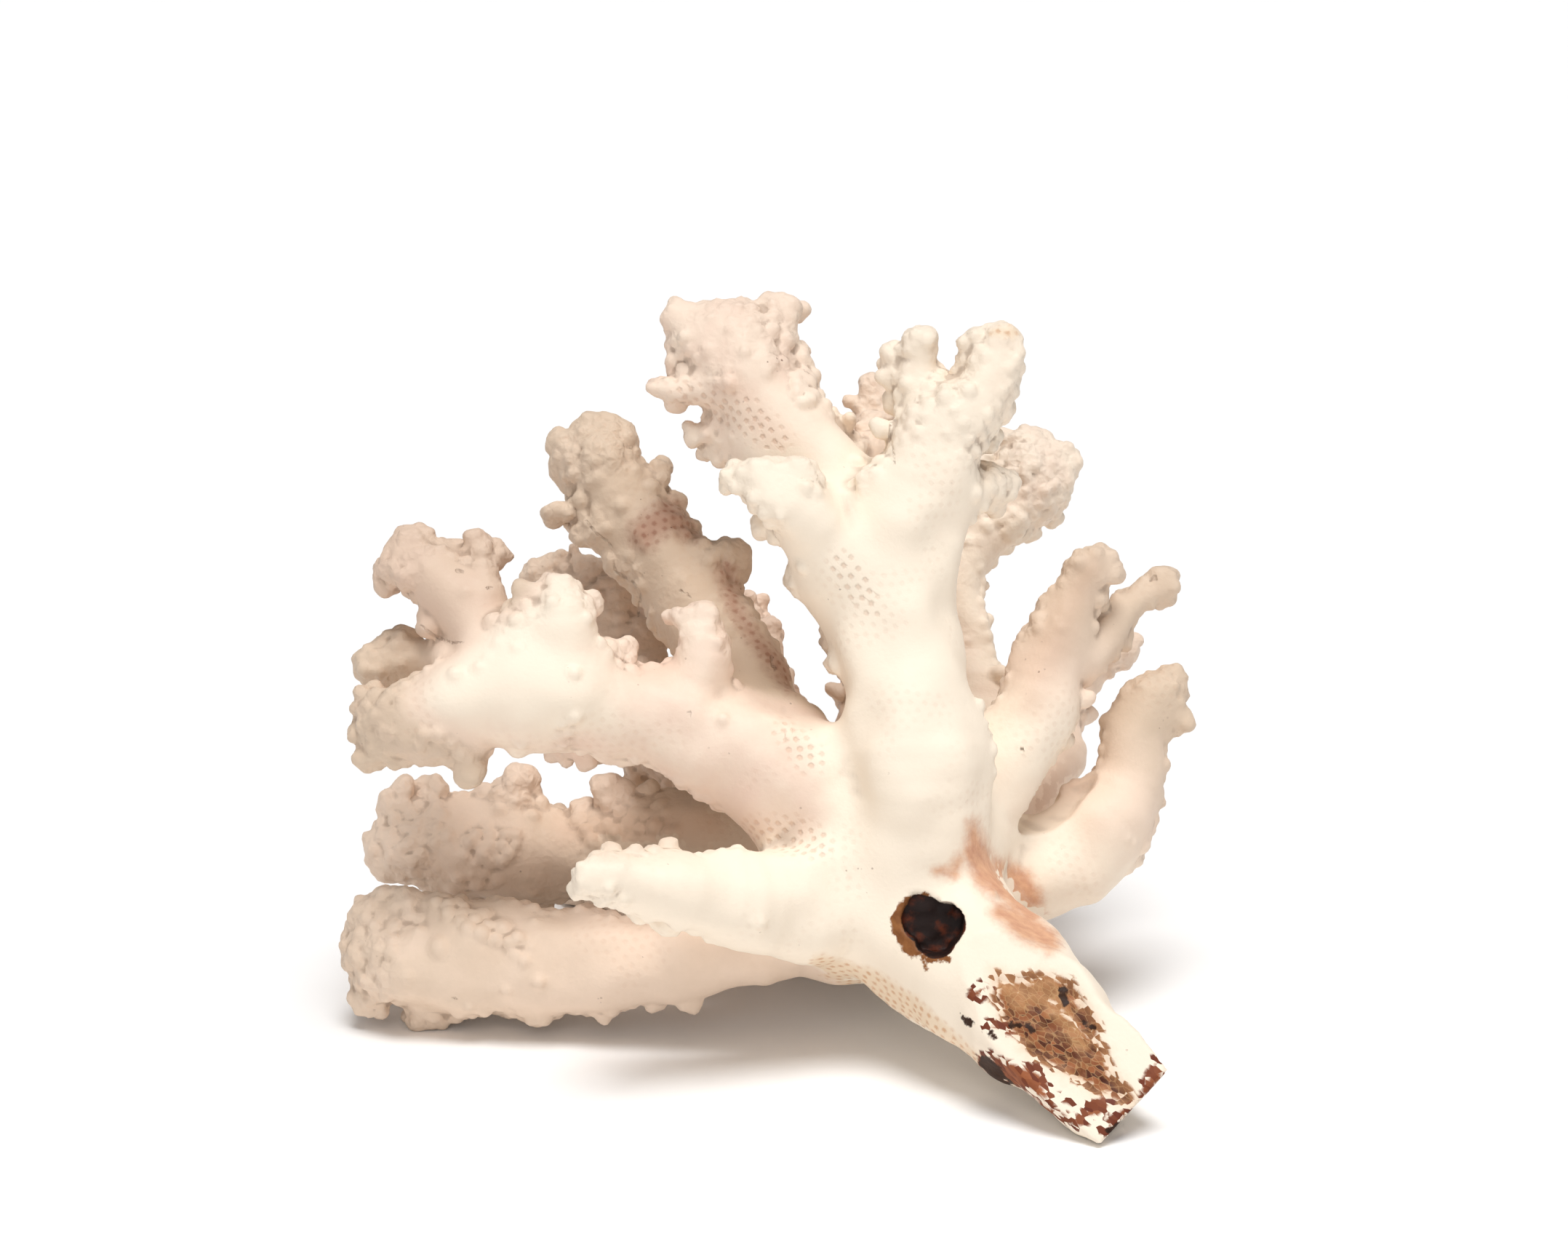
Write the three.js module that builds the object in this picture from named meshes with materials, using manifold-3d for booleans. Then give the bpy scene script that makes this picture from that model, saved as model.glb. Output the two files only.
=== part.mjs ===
// A branching coral skeleton, lying on its side as it was set down: a short stem that was sawn off its rock,
// a hub, and branches that fork from it all round. It grew as one piece, and is parted at its main forks.
import * as THREE from "three";
import { mergeVertices } from "three/addons/utils/BufferGeometryUtils.js";
import Module from "manifold-3d";

// Driving dimensions, in millimetres and degrees.
const VIEW_DISTANCE = 400; // from the eye to the middle of the coral
const VIEW_TILT = 15; // how far the eye looks down
const MIDDLE = [2.16, -3.35, 53.92]; // the middle of the view in the part's frame, whose floor is z = 0
const GRID = 1.5; // spacing of the points where the shape is measured
const REACH = 6; // how far from a surface the measure is kept
const BEAD_STEP = 2.5; // spacing of the beads that a line is made of, at most
const FORK_BLEND = 4.5; // how softly a branch grows out of its neighbours
const TWIG_BLEND = 2.4; // how softly a twig grows out of its branch
const LOBE_BLEND = 1.3; // how softly a lobe or a knob grows out of its twig
const KNOB_SPACING = 3.1; // along a line
const KNOB_RADIUS = 1.15; // of the smallest knobs
const KNOB_SPREAD = 0.9; // how much larger the largest are
const TWIG_BARE = 1.5; // the first stretch of a twig, which has no knobs
const SWELL = 0.35; // height of the slow waves all over the surface
const SLIM = 0.3; // what the blends add to the thickness, taken off again
const SAW_GAP = 0.3; // width of the parting at a fork
const SAW_WIDE = 3; // how far a parting reaches past the skin
const SAW_DEPTH = 24; // of the discs that take the sawn face and the end off the stem
const SAWN_RADIUS = 20;
const END_RADIUS = 30;
const END_LEAN = [0.72, -0.66, -0.2]; // where the end of the stem looks, along RIGHT, UP and AWAY
const BORE_RADIUS = 4.1;
const BORE_DEPTH = 6;
const FLOOR_RADIUS = 200; // more than the coral reaches
const TRIANGLES = 6100; // of the whole surface, before it is parted
const COLOUR = new THREE.Color(0.93, 0.86, 0.78);

const wasm = await Module();
wasm.setup();

// Every line is a run of [across, up, back, radius] as the eye measures them at the middle of the view:
// across to the right and back away from the eye. The first line of a branch is its axis, the others are
// its twigs. A branch with "part" is a piece of its own, parted from what carries it that far along its axis
// by a saw cut that reaches "wide" past its skin. The others are one with their neighbours. The first "bare"
// millimetres of an axis have no knobs. "lobes" are the rounded tips of the margin: [across, up, radius].
const BRANCHES = [
  {
    name: "trunk",
    bare: 999,
    lines: [
      [
        [14, -35, -5, 12.5], [24, -44.5, -14, 11.5], [35, -54, -24, 10], [46, -64, -34, 7.5],
        [54, -71, -41, 6.5],
      ],
      [[11, -30, -4, 10], [14, -36, 3, 12]],
    ],
  },
  {
    name: "column",
    part: 30,
    wide: 4,
    bare: 60,
    lobes: [[5, 3.1, 1.3], [6, 0.2, 1.3], [6.8, -1.9, 1.2], [26.2, -16, 2.6]],
    lines: [
      [
        [15, -34, -6, 11], [18, -24, -13, 10.3], [18, -16, -14, 9.6], [16.3, -6, -11, 8.8],
        [14.5, 3, -9, 9.2], [13.5, 10, -8, 8.6],
      ],
      [[11, -5, -10, 3.2], [7.8, -4.8, -10, 1.9]],
      [[7, 7, -9, 4.5], [2, 7.3, -9, 2.5]],
      [[7, 12, -10, 4.5], [0, 13.6, -11, 3], [-2.8, 14, -11, 2.2]],
      [[12, -1, -5, 4], [7.6, -0.6, -1, 2.8]],
    ],
  },
  {
    name: "crown_left",
    part: 17.5,
    wide: 4.4,
    bare: 21,
    lobes: [
      [-14.1, 42.8, 2.1], [-11, 43.3, 1.9], [-8, 43.2, 1.7], [-5.4, 43.5, 1.5], [-1.5, 44.3, 1.7],
      [0.5, 44, 1.8], [-15.3, 38.7, 1], [-15.2, 37.3, 1.1], [-15.2, 35.9, 1.1], [-13.2, 27.6, 1.1],
      [-12.6, 25.4, 1.5], [-10.6, 24, 1.4], [-8.8, 23.4, 1.3], [1.7, 37.9, 1.1], [3, 36.6, 1.2],
      [3.7, 34.6, 1.3], [6.4, 29.2, 1.4], [5.8, 26.6, 1.6],
    ],
    lines: [
      [[12, 10, -7, 8], [7, 17, -4, 7.8], [1, 25, -2, 7.6], [-3.5, 32, -1, 7.6], [-6, 37, -1, 7]],
      [[-6, 35, -1, 6.5], [-10.5, 39, -1, 5.4], [-12.2, 41, -1, 3.6]],
      [[-5, 36, 0, 6], [-5.5, 40.6, 0, 4.1]],
      [[-2.5, 36, 0, 4.5], [-0.8, 41, 0, 3], [-0.5, 43.4, 0, 2.7]],
      [[-9, 33, -2, 4], [-14, 32.8, -3, 2.2], [-17.4, 32.6, -3, 1.5]],
      [[-2, 27, -1, 6], [-8.5, 26.6, -1, 4], [-12.2, 26.4, -1, 2]],
    ],
  },
  {
    name: "crown_front",
    bare: 9,
    lobes: [[-7.2, 20.3, 1.3], [-3.6, 17, 1.1]],
    lines: [
      [[9, 6, -10, 6], [4.5, 13, -14, 5.6], [0.5, 18, -16.5, 4.8], [-1, 19.8, -17, 4]],
      [[0, 18, -16.5, 4], [-3.2, 21, -17.5, 2.8]],
      [[0.5, 18, -16.5, 4], [1.8, 21.2, -17.5, 2.7]],
      [[-1, 18, -16, 3.5], [-6, 20.4, -16, 2.1]],
    ],
  },
  {
    name: "crown_right",
    bare: 6,
    lobes: [
      [13, 27.8, 1.3], [13.9, 34.2, 1.2], [14.3, 37.7, 1.3], [15.5, 37.7, 1.2], [18.7, 38.6, 2.1],
      [23.7, 37.1, 0.9], [25.9, 38.9, 2.3], [30.1, 39, 2.5], [32.3, 35.5, 1.4], [28.6, 21.2, 1.4],
      [30.8, 19.7, 1.3], [28, 17.5, 1.2],
    ],
    lines: [
      [[14, 9, -8, 8.4], [18, 17, -10, 7.8], [20.5, 24, -10, 6.8], [22.5, 28, -10, 6.3]],
      [[20, 26, -10, 5], [19.2, 32, -9, 3.7], [18.9, 37.6, -9, 2.4]],
      [[18, 33, -8, 3.4], [15.3, 36.8, -7, 2]],
      [[23, 28, -10, 5.6], [27, 32, -10, 4.9], [28.8, 35.4, -10, 4.6]],
      [[28, 35, -10, 4], [26.1, 38.4, -10, 2.5]],
      [[28.8, 35, -10, 4], [30.3, 38.4, -10, 2.9]],
      [[22, 17, -9, 5], [27.5, 19.3, -6, 3], [30, 19.6, -5, 2]],
      [[15, 19, -11, 4], [12.9, 19.8, -13, 2]],
    ],
  },
  {
    name: "crown_rear",
    bare: 6,
    lines: [
      [[14, 8, -4, 7], [13.5, 15, 5, 4.6], [12, 20.5, 10, 3.6], [11, 22.5, 12, 2.8]],
      [[13, 16, 4, 5], [12.3, 23, 6, 4.4], [11.8, 28, 7.5, 2.4]],
      [[12.5, 22, 8, 4], [12, 29, 12, 3], [11.8, 33, 13, 2.2]],
      [[8, 22, 2, 4], [7.3, 27.5, 2, 2.6]],
    ],
  },
  {
    name: "left_arm",
    part: 31,
    bare: 14,
    lobes: [
      [-36.2, 5.5, 1.2], [-31.9, -17.7, 1.4], [-29.7, -18.7, 1.3], [-27.2, -18.2, 1.1],
      [-24.6, -17.3, 1.1], [-22.2, -18.3, 1.2], [-36.7, -16.7, 1.2],
    ],
    lines: [
      [
        [9, -28, -6, 11], [1, -21, -8, 9.6], [-7, -17, -9, 8.6], [-16, -13, -10, 7.3],
        [-26, -10.5, -12, 6.8], [-33, -9, -13, 7],
      ],
      [[-12, -9, -10, 5], [-11, -3, -11, 4], [-11, 1.4, -11, 3]],
      [[-12, -2, -11, 3], [-14.3, 1.2, -11, 1.9]],
      [[-30, -8, -14, 6], [-30.4, -1, -15, 5.2], [-30.6, 3.5, -15, 3.6], [-30.5, 6, -15, 2]],
      [[-29, -6, -13, 5], [-24.5, -3.4, -11, 3], [-22, -3.4, -10, 2]],
      [[-26, -12, -6, 4.6], [-28.5, -15.6, -2, 3], [-31.5, -17.2, 0, 2.1]],
    ],
  },
  {
    name: "left_hand",
    part: 2,
    wide: 10,
    bare: 7,
    lobes: [
      [-52.6, -18.2, 1.3], [-43.6, -20.8, 1.2], [-42.7, -20.2, 1.4], [-52.7, -1.7, 1.2], [-56, -2.9, 1.4],
      [-57.9, -4.3, 1.4], [-57.9, -6.1, 1.5], [-58, -9.3, 1.1], [-58.7, -11.2, 1.1], [-59, -14.1, 1.3],
      [-57.3, -17.9, 1.5], [-55.6, -17.8, 1.4],
    ],
    lines: [
      [[-33, -9, -13, 7], [-42, -10, -13, 6.6], [-50, -11.5, -12, 6], [-55, -12, -11, 4.2]],
      [[-48, -12, -12, 5], [-54, -15.5, -11, 3.2], [-56.8, -17, -10, 2.2]],
      [[-44, -12, -13, 5], [-49.5, -15.4, -13, 4.2]],
      [[-54, -12, -11, 3.5], [-57.8, -13.7, -10, 2.1]],
      [[-44, -14, -13, 3.5], [-43.5, -17.5, -13, 2.4], [-43.2, -20, -13, 1.8]],
      [[-42, -6, -9, 5], [-47, -4.6, -3, 4], [-53, -5, -2, 3.8], [-56, -5.5, -2, 3.2]],
      [[-52, -4, -2, 3], [-52.8, -2.2, -2, 1.6]],
      [[-38, -6, -12, 6], [-36, -0.5, -13, 4.8], [-34.5, 3.6, -14, 2.8]],
    ],
  },
  {
    name: "left_head",
    bare: 6,
    lobes: [
      [-55.6, 5.6, 1.2], [-54.6, 5.2, 1.1], [-51.6, 4.4, 1.2], [-49.1, 2, 1.3], [-48.7, 0.3, 1.3],
      [-55, 7.6, 1.3], [-53.4, 10.4, 1.5], [-51.6, 12.5, 1.7], [-49.4, 12.9, 1.3], [-47.4, 10.7, 1.3],
      [-45.5, 10.7, 1.3], [-42.1, 12, 1.9],
    ],
    lines: [
      [[-39, -5, -12, 5], [-43, 2, -8, 5], [-46.5, 6, -6, 5], [-50, 8.5, -5, 4.6], [-51, 10.5, -5, 3.6]],
      [[-42, 4, -7, 4], [-42, 9, -6, 2.7], [-41.9, 11.8, -6, 2]],
      [[-50, 8, -5, 4], [-54, 7, -4, 2.5]],
      [[-47, 6, -5, 4], [-46, 9.5, -4, 2.6]],
    ],
  },
  {
    name: "left_tower",
    part: 25.5,
    wide: 4.4,
    bare: 8,
    lobes: [
      [-26.7, 28, 1.7], [-24.2, 27.6, 1.7], [-22.5, 27.1, 1.5], [-28.1, 27.2, 1.4], [-30.3, 25.4, 1.7],
      [-30.9, 21.9, 1.1], [-30.8, 20.3, 1], [-32, 15.9, 1.1], [-28, 12.7, 1.3], [-21.8, 26, 1.3],
      [-17.2, 22, 1.4], [-14.8, 17.4, 1.4], [-12.4, 14, 1.4], [-7, 10.3, 1.7], [-6.4, 8.6, 1.6],
      [-4.9, 0.9, 1], [-2.2, -3, 1.6], [-1.3, -4.9, 1.3], [3.5, -11.4, 1.3], [4.2, -12.6, 1.1],
    ],
    lines: [
      [
        [-3, -13, -2, 7], [-7, -5, 4, 6.3], [-12.3, 3, 8, 6.4], [-16.8, 10.4, 11, 6.2],
        [-22, 17.8, 13, 6.3], [-26, 24.1, 13, 4.9],
      ],
      [[-26, 24, 13, 4.5], [-26.6, 26.8, 13, 2.8]],
      [[-24.5, 24, 13, 4], [-22.8, 26, 13, 2.6]],
      [[-27, 22, 13, 4], [-30.2, 24.6, 13, 2.2]],
      [[-27, 20, 13, 4], [-30.8, 21.4, 13, 1.5]],
      [[-25, 17, 12, 4], [-29, 16.3, 11, 2.2], [-31.7, 16, 11, 1.4]],
      [[-19, 19, 12, 3], [-17, 21.3, 12, 2]],
      [[-10, 8, 9, 5], [-7, 9.3, 9, 2.9]],
      [[-8, 1, 7, 4], [-5.2, 1, 8, 1.8]],
      [[-5, -4, 4, 4], [-2, -3.8, 5, 2.4]],
      [[-3, -7, 3, 4], [-1.2, -6.2, 4, 1.9]],
      [[-22, 15, 12, 5], [-26.5, 13.2, 11, 3], [-28.2, 12.6, 11, 2]],
      [[-18.5, 8, 9.5, 4.6], [-22.6, 8.2, 9.5, 2.4]],
    ],
  },
  {
    name: "left_fan",
    bare: 10,
    lobes: [
      [-34.3, 7.7, 1.5], [-32.5, 8.4, 1.4], [-30.2, 9.3, 1.5], [-29.1, 10.9, 1.2], [-26.6, 8.6, 1.7],
      [-24.4, 8.4, 1.5],
    ],
    lines: [
      [
        [-10, -16, -2, 6], [-18, -11, 12, 5.6], [-23.5, -3.5, 22.5, 4.8], [-28.5, 3.8, 26, 4.2],
        [-32.5, 6.8, 26.5, 2.6],
      ],
      [[-27, 1, 25, 4], [-27, 6.5, 25.5, 3.2]],
      [[-22, -5, 21, 4.2], [-22, 0, 23.5, 4.2], [-22.8, 4.5, 24.5, 3.8]],
      [[-20, -7, 17, 4.2], [-18.6, -1.5, 20, 3.6]],
    ],
  },
  {
    name: "front_finger",
    part: 17,
    bare: 17,
    lobes: [[-20.5, -31, 1.5], [-14, -31.9, 1.5], [-9, -32.9, 1.5]],
    lines: [
      [
        [10, -37, -10, 10], [2, -38, -15, 8], [-7, -37.5, -20, 6.8], [-16, -35.8, -24, 5.6],
        [-23, -34.6, -27, 4.3], [-27.2, -33.9, -29, 2.7],
      ],
    ],
  },
  {
    name: "lower_left_upper",
    part: 27,
    bare: 20,
    lobes: [
      [-48.1, -21.8, 1.8], [-52, -22.2, 1.4], [-54.3, -24.4, 1.6], [-54.1, -27.3, 1.2],
      [-55.9, -29.6, 1.3], [-55.4, -33.1, 1.4], [-41.2, -23.6, 1.4], [-37, -20.2, 1.5],
      [-35.2, -20.6, 1.5], [-28.2, -24.8, 1.5], [-24.2, -22.4, 1.8], [-21.6, -22.6, 1.6],
    ],
    lines: [
      [
        [6, -31, 2, 8], [-6, -29, 12, 6.5], [-17, -28.6, 18, 6.2], [-28, -31.4, 20, 6.2],
        [-38, -30.6, 20, 7.8], [-46, -30.2, 19, 7.6], [-51.5, -30.2, 18, 5.6],
      ],
      [[-40, -28, 19, 5], [-36.8, -22.5, 19, 3], [-36.3, -21.3, 19, 2.6]],
      [[-48, -28, 18, 4.5], [-48.6, -23, 18, 2.4]],
      [[-50, -28, 17, 4.5], [-52.8, -25, 17, 3]],
      [[-51, -30, 17, 4], [-55, -30, 17, 2.3]],
      [[-51, -32, 17, 4], [-54.5, -33, 17, 2]],
      [[-26, -29, 20, 4], [-27.6, -25.4, 20, 2.1]],
      [[-20, -27, 19, 4.5], [-23, -23.4, 18, 2.6]],
    ],
  },
  {
    name: "lower_left_lower",
    part: 19,
    bare: 19,
    lobes: [
      [-54.7, -36.6, 1.3], [-57.3, -39, 1.4], [-58.9, -41.1, 1.5], [-59.7, -43.6, 1.5],
      [-58.9, -44.9, 1.3], [-57.4, -46.9, 1.5], [-57, -49.6, 1.3], [-58.5, -51.4, 1.5],
      [-57.7, -52.3, 1.4], [-55.2, -52.9, 1.5], [-50.4, -54.2, 1.8], [-48, -53.6, 1.5], [-45, -53.4, 1.5],
      [-33.6, -53.2, 1.5], [-31, -53.1, 1.3], [-25, -53.1, 1.5], [-18.2, -51.9, 1.4], [-12.8, -51.2, 1.2],
    ],
    lines: [
      [
        [6, -40, -4, 8], [-6, -43, -5, 6], [-17, -45.5, -4, 6.6], [-29, -46.1, -2, 7.7],
        [-40, -45.6, 0, 8.5], [-49, -45.5, 1, 8.2], [-55, -44.5, 1, 5.6],
      ],
      [[-49, -50, 1, 4], [-50, -53.4, 1.5, 2.6]],
      [[-54, -47, 1, 4.5], [-57.6, -51.3, 1, 2.4]],
      [[-54, -44, 1, 5], [-58.5, -44, 1, 2.8]],
      [[-53, -41, 1, 4.5], [-57, -40.3, 1, 2.8]],
      [[-50, -40, 1, 4], [-54.5, -37.6, 1, 2]],
      [[-44, -43, -1, 5], [-47, -40.4, -2, 2.2]],
      [[-33, -50, -2, 4], [-34, -52.8, -2, 2]],
    ],
  },
  {
    name: "right_arm",
    part: 17,
    bare: 16,
    lobes: [
      [43.4, 10.4, 1.7], [44.2, 9.9, 1.2], [44.6, 7.6, 1.5], [39.9, 8.1, 1.4], [41.4, 9.5, 1.1],
      [36.2, 2.5, 1.2], [35.6, 1.3, 1.2], [33.3, -2.9, 1.4], [32.7, -4.8, 1.3], [52, 6.2, 2.3],
      [52.4, 4.9, 1.6], [49, 5.5, 1.7],
    ],
    lines: [
      [
        [20, -30, 0, 10], [26.5, -25, -2, 7], [30.5, -18, -2, 6.4], [34.5, -11.5, -1, 6.4],
        [37.2, -4, 0, 5.2], [39.9, 3, 0, 4], [42.6, 9, 0, 2.9],
      ],
      [[36, -1, 0, 3.4], [33.6, -2.9, 0, 1.8]],
      [[38, 2, 0, 3.2], [36.4, 2, 0, 1.9]],
      [[41, -5, 2, 3.5], [44.5, 0, 5, 3.2], [48, 3.6, 7, 2.9], [51.4, 5.7, 8, 2.6]],
    ],
  },
  {
    name: "right_lower_arm",
    part: 20,
    bare: 20,
    lobes: [
      [53.9, -6.1, 1.5], [52, -6.5, 1.4], [54, -8.4, 1.3], [53.8, -12.7, 1.7], [49.6, -8.3, 1.4],
      [47.9, -10.8, 1.3], [45.9, -12.9, 1.5], [50.3, -23.9, 2.1],
    ],
    lines: [
      [
        [22, -33, 2, 9], [31, -34, 3, 7], [38, -32, 4, 7.5], [44, -27, 5, 7.4], [47.3, -21, 6, 5.2],
        [48.6, -14, 7, 4.7], [50.8, -9.5, 7, 4.2], [53, -7, 7, 2.6],
      ],
      [[48, -25, 6, 4], [50.3, -24, 6, 2.2]],
      [[50.5, -13, 7, 3.5], [53.2, -12.8, 7, 2.5]],
    ],
  },
  {
    name: "right_rear_arm",
    part: 20,
    bare: 50,
    lobes: [[48, -1.7, 1.3]],
    lines: [
      [
        [24, -29, 14, 8], [32, -25, 22, 6.4], [37, -18, 27, 4.5], [38.8, -11.2, 28, 2.8],
        [42.6, -5.6, 29, 2.8], [46.2, -2.9, 29, 3],
      ],
    ],
  },
  {
    name: "right_rear_tower",
    part: 16,
    bare: 12,
    lines: [
      [
        [24, -22, 12, 8], [27, -12, 17, 5.6], [25.3, -3, 20, 4], [23.7, 4, 22, 3.6], [26, 11, 24, 4.6],
        [31, 17.5, 26, 6], [34.5, 20.5, 26, 5.6],
      ],
      [[32, 21, 26, 4], [32.8, 25.6, 26, 2.4]],
      [[35, 20.5, 26, 5], [38.6, 22.3, 26, 3]],
    ],
  },
  {
    name: "rear_spray",
    part: 22,
    bare: 16,
    lobes: [[-1.7, 0.2, 1.4], [0.3, -6.4, 1.3], [-5, 4, 1.5]],
    lines: [
      [
        [8, -25, 12, 7], [2, -16.5, 22, 5.2], [-2.2, -9, 27, 3.9], [-3.8, -2.8, 31, 3.2],
        [-5.2, 2, 33, 2.6],
      ],
      [[-2.4, -4, 29, 3], [-1.7, -1, 30, 2]],
    ],
  },
  {
    name: "rear_left_arm",
    part: 20,
    bare: 12,
    lines: [
      [[4, -26, 18, 7], [-8, -20, 31, 5.8], [-18, -16, 38, 5.4], [-27, -12, 43, 4.2], [-32, -9, 46, 2.8]],
      [[-16, -17, 37, 4], [-19, -9, 46, 3.6], [-22, -4, 51, 2.6]],
    ],
  },
  {
    name: "rear_left_foot",
    part: 23,
    wide: 4,
    bare: 16,
    lines: [
      [
        [6, -35, 12, 9], [-3, -36, 26, 7], [-13, -36.2, 37, 6], [-22, -35.6, 44, 4.6],
        [-28, -35.5, 48, 3.4],
      ],
    ],
  },
  {
    name: "rear_foot",
    part: 28,
    wide: 3.4,
    bare: 14,
    lines: [
      [[14, -33, 6, 11], [14, -34, 20, 9], [14, -35, 32, 7], [13, -34.8, 43, 5.5], [12, -34.2, 50, 3.6]],
    ],
  },
  {
    name: "rear_tower",
    part: 20,
    wide: 2.4,
    bare: 18,
    lines: [
      [
        [15, -28, 14, 10], [15, -16, 27, 7.5], [13.5, -3, 35, 6.5], [12.5, 9, 40, 5.8], [11, 19, 43, 4.6],
        [10, 26, 44, 3],
      ],
      [[14, 4, 37, 5], [18, 14, 47, 4.5], [20, 22, 50, 3]],
    ],
  },
];

// Three places on the sawn face of the stem, and the middles of its end and of the bore beside the face.
const SAWN_FACE = [[22, -43, -25.3], [48, -66, -34.5], [46, -48, -28.5]];
const STEM_END = [48.5, -65.5, -34];
const BORE = [20.8, -41, -25];

const tilt = THREE.MathUtils.degToRad(VIEW_TILT);
const RIGHT = new THREE.Vector3(1, 0, 0);
const UP = new THREE.Vector3(0, Math.sin(tilt), Math.cos(tilt));
const AWAY = new THREE.Vector3(0, Math.cos(tilt), -Math.sin(tilt));

// How much larger a thing is than it looks when it lies that far behind the middle of the view.
const magnify = (back) => 1 + back / VIEW_DISTANCE;

// A direction that leans so far along RIGHT, UP and AWAY.
function leaning(across, up, back) {
  return RIGHT.clone().multiplyScalar(across).addScaledVector(UP, up).addScaledVector(AWAY, back);
}

// The place in the part's frame of a point that the eye sees at (across, up) and that lies that far back.
function seenAt([across, up, back]) {
  const k = magnify(back);
  return leaning(across * k, up * k, back).add(new THREE.Vector3(...MIDDLE));
}

// The reverse: [across, up, back] of a place in the part's frame.
function asSeen(place) {
  const offset = place.clone().sub(new THREE.Vector3(...MIDDLE));
  const back = offset.dot(AWAY);
  return [offset.dot(RIGHT) / magnify(back), offset.dot(UP) / magnify(back), back];
}

// A line of the table as a smooth run of {at, radius, along} beads, close enough together to look round.
function beadsOf(rows) {
  const curve = new THREE.CatmullRomCurve3(rows.map(seenAt), false, "centripetal");
  const steps = Math.max(2, Math.ceil(curve.getLength() / BEAD_STEP));
  const radiusOf = (row) => rows[row][3] * magnify(rows[row][2]);
  const beads = [];
  let along = 0;
  for (let i = 0; i <= steps; i++) {
    const place = (i / steps) * (rows.length - 1);
    const row = Math.min(Math.floor(place), rows.length - 2);
    const at = curve.getPoint(i / steps);
    if (i) along += at.distanceTo(beads[i - 1].at);
    beads.push({ at, along, radius: THREE.MathUtils.lerp(radiusOf(row), radiusOf(row + 1), place - row) });
  }
  return beads;
}

// A number from 0 to 1 that looks random and is the same every time.
function chance(a, b) {
  const x = Math.sin(a * 12.9898 + b * 78.233) * 43758.5453;
  return x - Math.floor(x);
}

// The lobes of a branch's margin: each runs from the nearest bead out to the tip that the eye sees.
function lobesOf(lobes, lines) {
  return lobes.map(([across, up, radius]) => {
    const gap = (bead) => {
      const [x, y] = asSeen(bead.at);
      return Math.hypot(x - across, y - up) - bead.radius;
    };
    const nearest = lines.flat().reduce((best, bead) => (gap(bead) < gap(best) ? bead : best));
    const [, , back] = asSeen(nearest.at);
    const size = radius * magnify(back);
    return [
      { at: nearest.at, radius: Math.min(size, nearest.radius) },
      { at: seenAt([across, up, back]), radius: size },
    ];
  });
}

// The knobs of a line, each a short run of two beads: on both its edges, or on its far side if it has lobes.
function knobsOf(beads, seed, bare, farSide) {
  const knobs = [];
  const length = beads[beads.length - 1].along;
  for (let i = 0; bare + i * KNOB_SPACING < length; i++) {
    const along = bare + (i + 0.7 * chance(seed, i)) * KNOB_SPACING;
    const next = beads.findIndex((bead) => bead.along >= along);
    const k = next > 0 ? next : beads.length - 1;
    const { at, radius } = beads[k];
    const forward = at.clone().sub(beads[k - 1].at).normalize();
    const side = new THREE.Vector3().crossVectors(forward, AWAY).normalize();
    const sway = chance(seed, i + 0.5);
    const turn = farSide ? Math.PI * (0.15 + 0.7 * sway) : (i % 2) * Math.PI + (sway - 0.35) * 1.5;
    const out = side.multiplyScalar(Math.cos(turn)).addScaledVector(AWAY, Math.sin(turn));
    out.addScaledVector(forward, 0.3).normalize();
    const size = Math.min(KNOB_RADIUS + KNOB_SPREAD * chance(seed, i + 0.25), 0.62 * radius);
    const stand = radius + size * (0.15 + 0.5 * chance(seed, i + 0.75));
    knobs.push([
      { at: at.clone().addScaledVector(out, radius / 2), radius: size },
      { at: at.clone().addScaledVector(out, stand), radius: size },
    ]);
  }
  return knobs;
}

// The box that beads fill, with the reach of their measure round it.
function boxRound(beads) {
  const box = new THREE.Box3();
  for (const { at, radius } of beads) {
    const size = new THREE.Vector3().setScalar(2 * (radius + REACH));
    box.union(new THREE.Box3().setFromCenterAndSize(at, size));
  }
  return box;
}

// The space round the coral as a grid of signed distances, below zero inside it.
class Field {
  constructor(box) {
    this.box = box;
    this.low = box.min;
    this.count = box.max.clone().sub(box.min).divideScalar(GRID).ceil().addScalar(1).toArray();
    this.values = new Float32Array(this.count[0] * this.count[1] * this.count[2]).fill(REACH);
  }

  index(i, j, k) {
    return i + this.count[0] * (j + this.count[1] * k);
  }

  // Calls visit(index, x, y, z) for the grid points in a box.
  visit(box, visit) {
    const first = box.min.clone().sub(this.low).divideScalar(GRID).ceil().toArray();
    const last = box.max.clone().sub(this.low).divideScalar(GRID).floor().toArray();
    const [i0, j0, k0] = first.map((v) => Math.max(v, 0));
    const [i1, j1, k1] = last.map((v, axis) => Math.min(v, this.count[axis] - 1));
    for (let k = k0; k <= k1; k++) {
      for (let j = j0; j <= j1; j++) {
        for (let i = i0; i <= i1; i++) {
          visit(this.index(i, j, k), this.low.x + i * GRID, this.low.y + j * GRID, this.low.z + k * GRID);
        }
      }
    }
  }

  // Grows a run of beads onto what is there, blended over a width.
  grow(beads, blend) {
    this.visit(boxRound(beads), (index, x, y, z) => {
      const distance = distanceTo(beads, x, y, z);
      if (distance >= REACH) return;
      this.values[index] = softMin(this.values[index], distance, blend);
    });
  }
}

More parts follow.
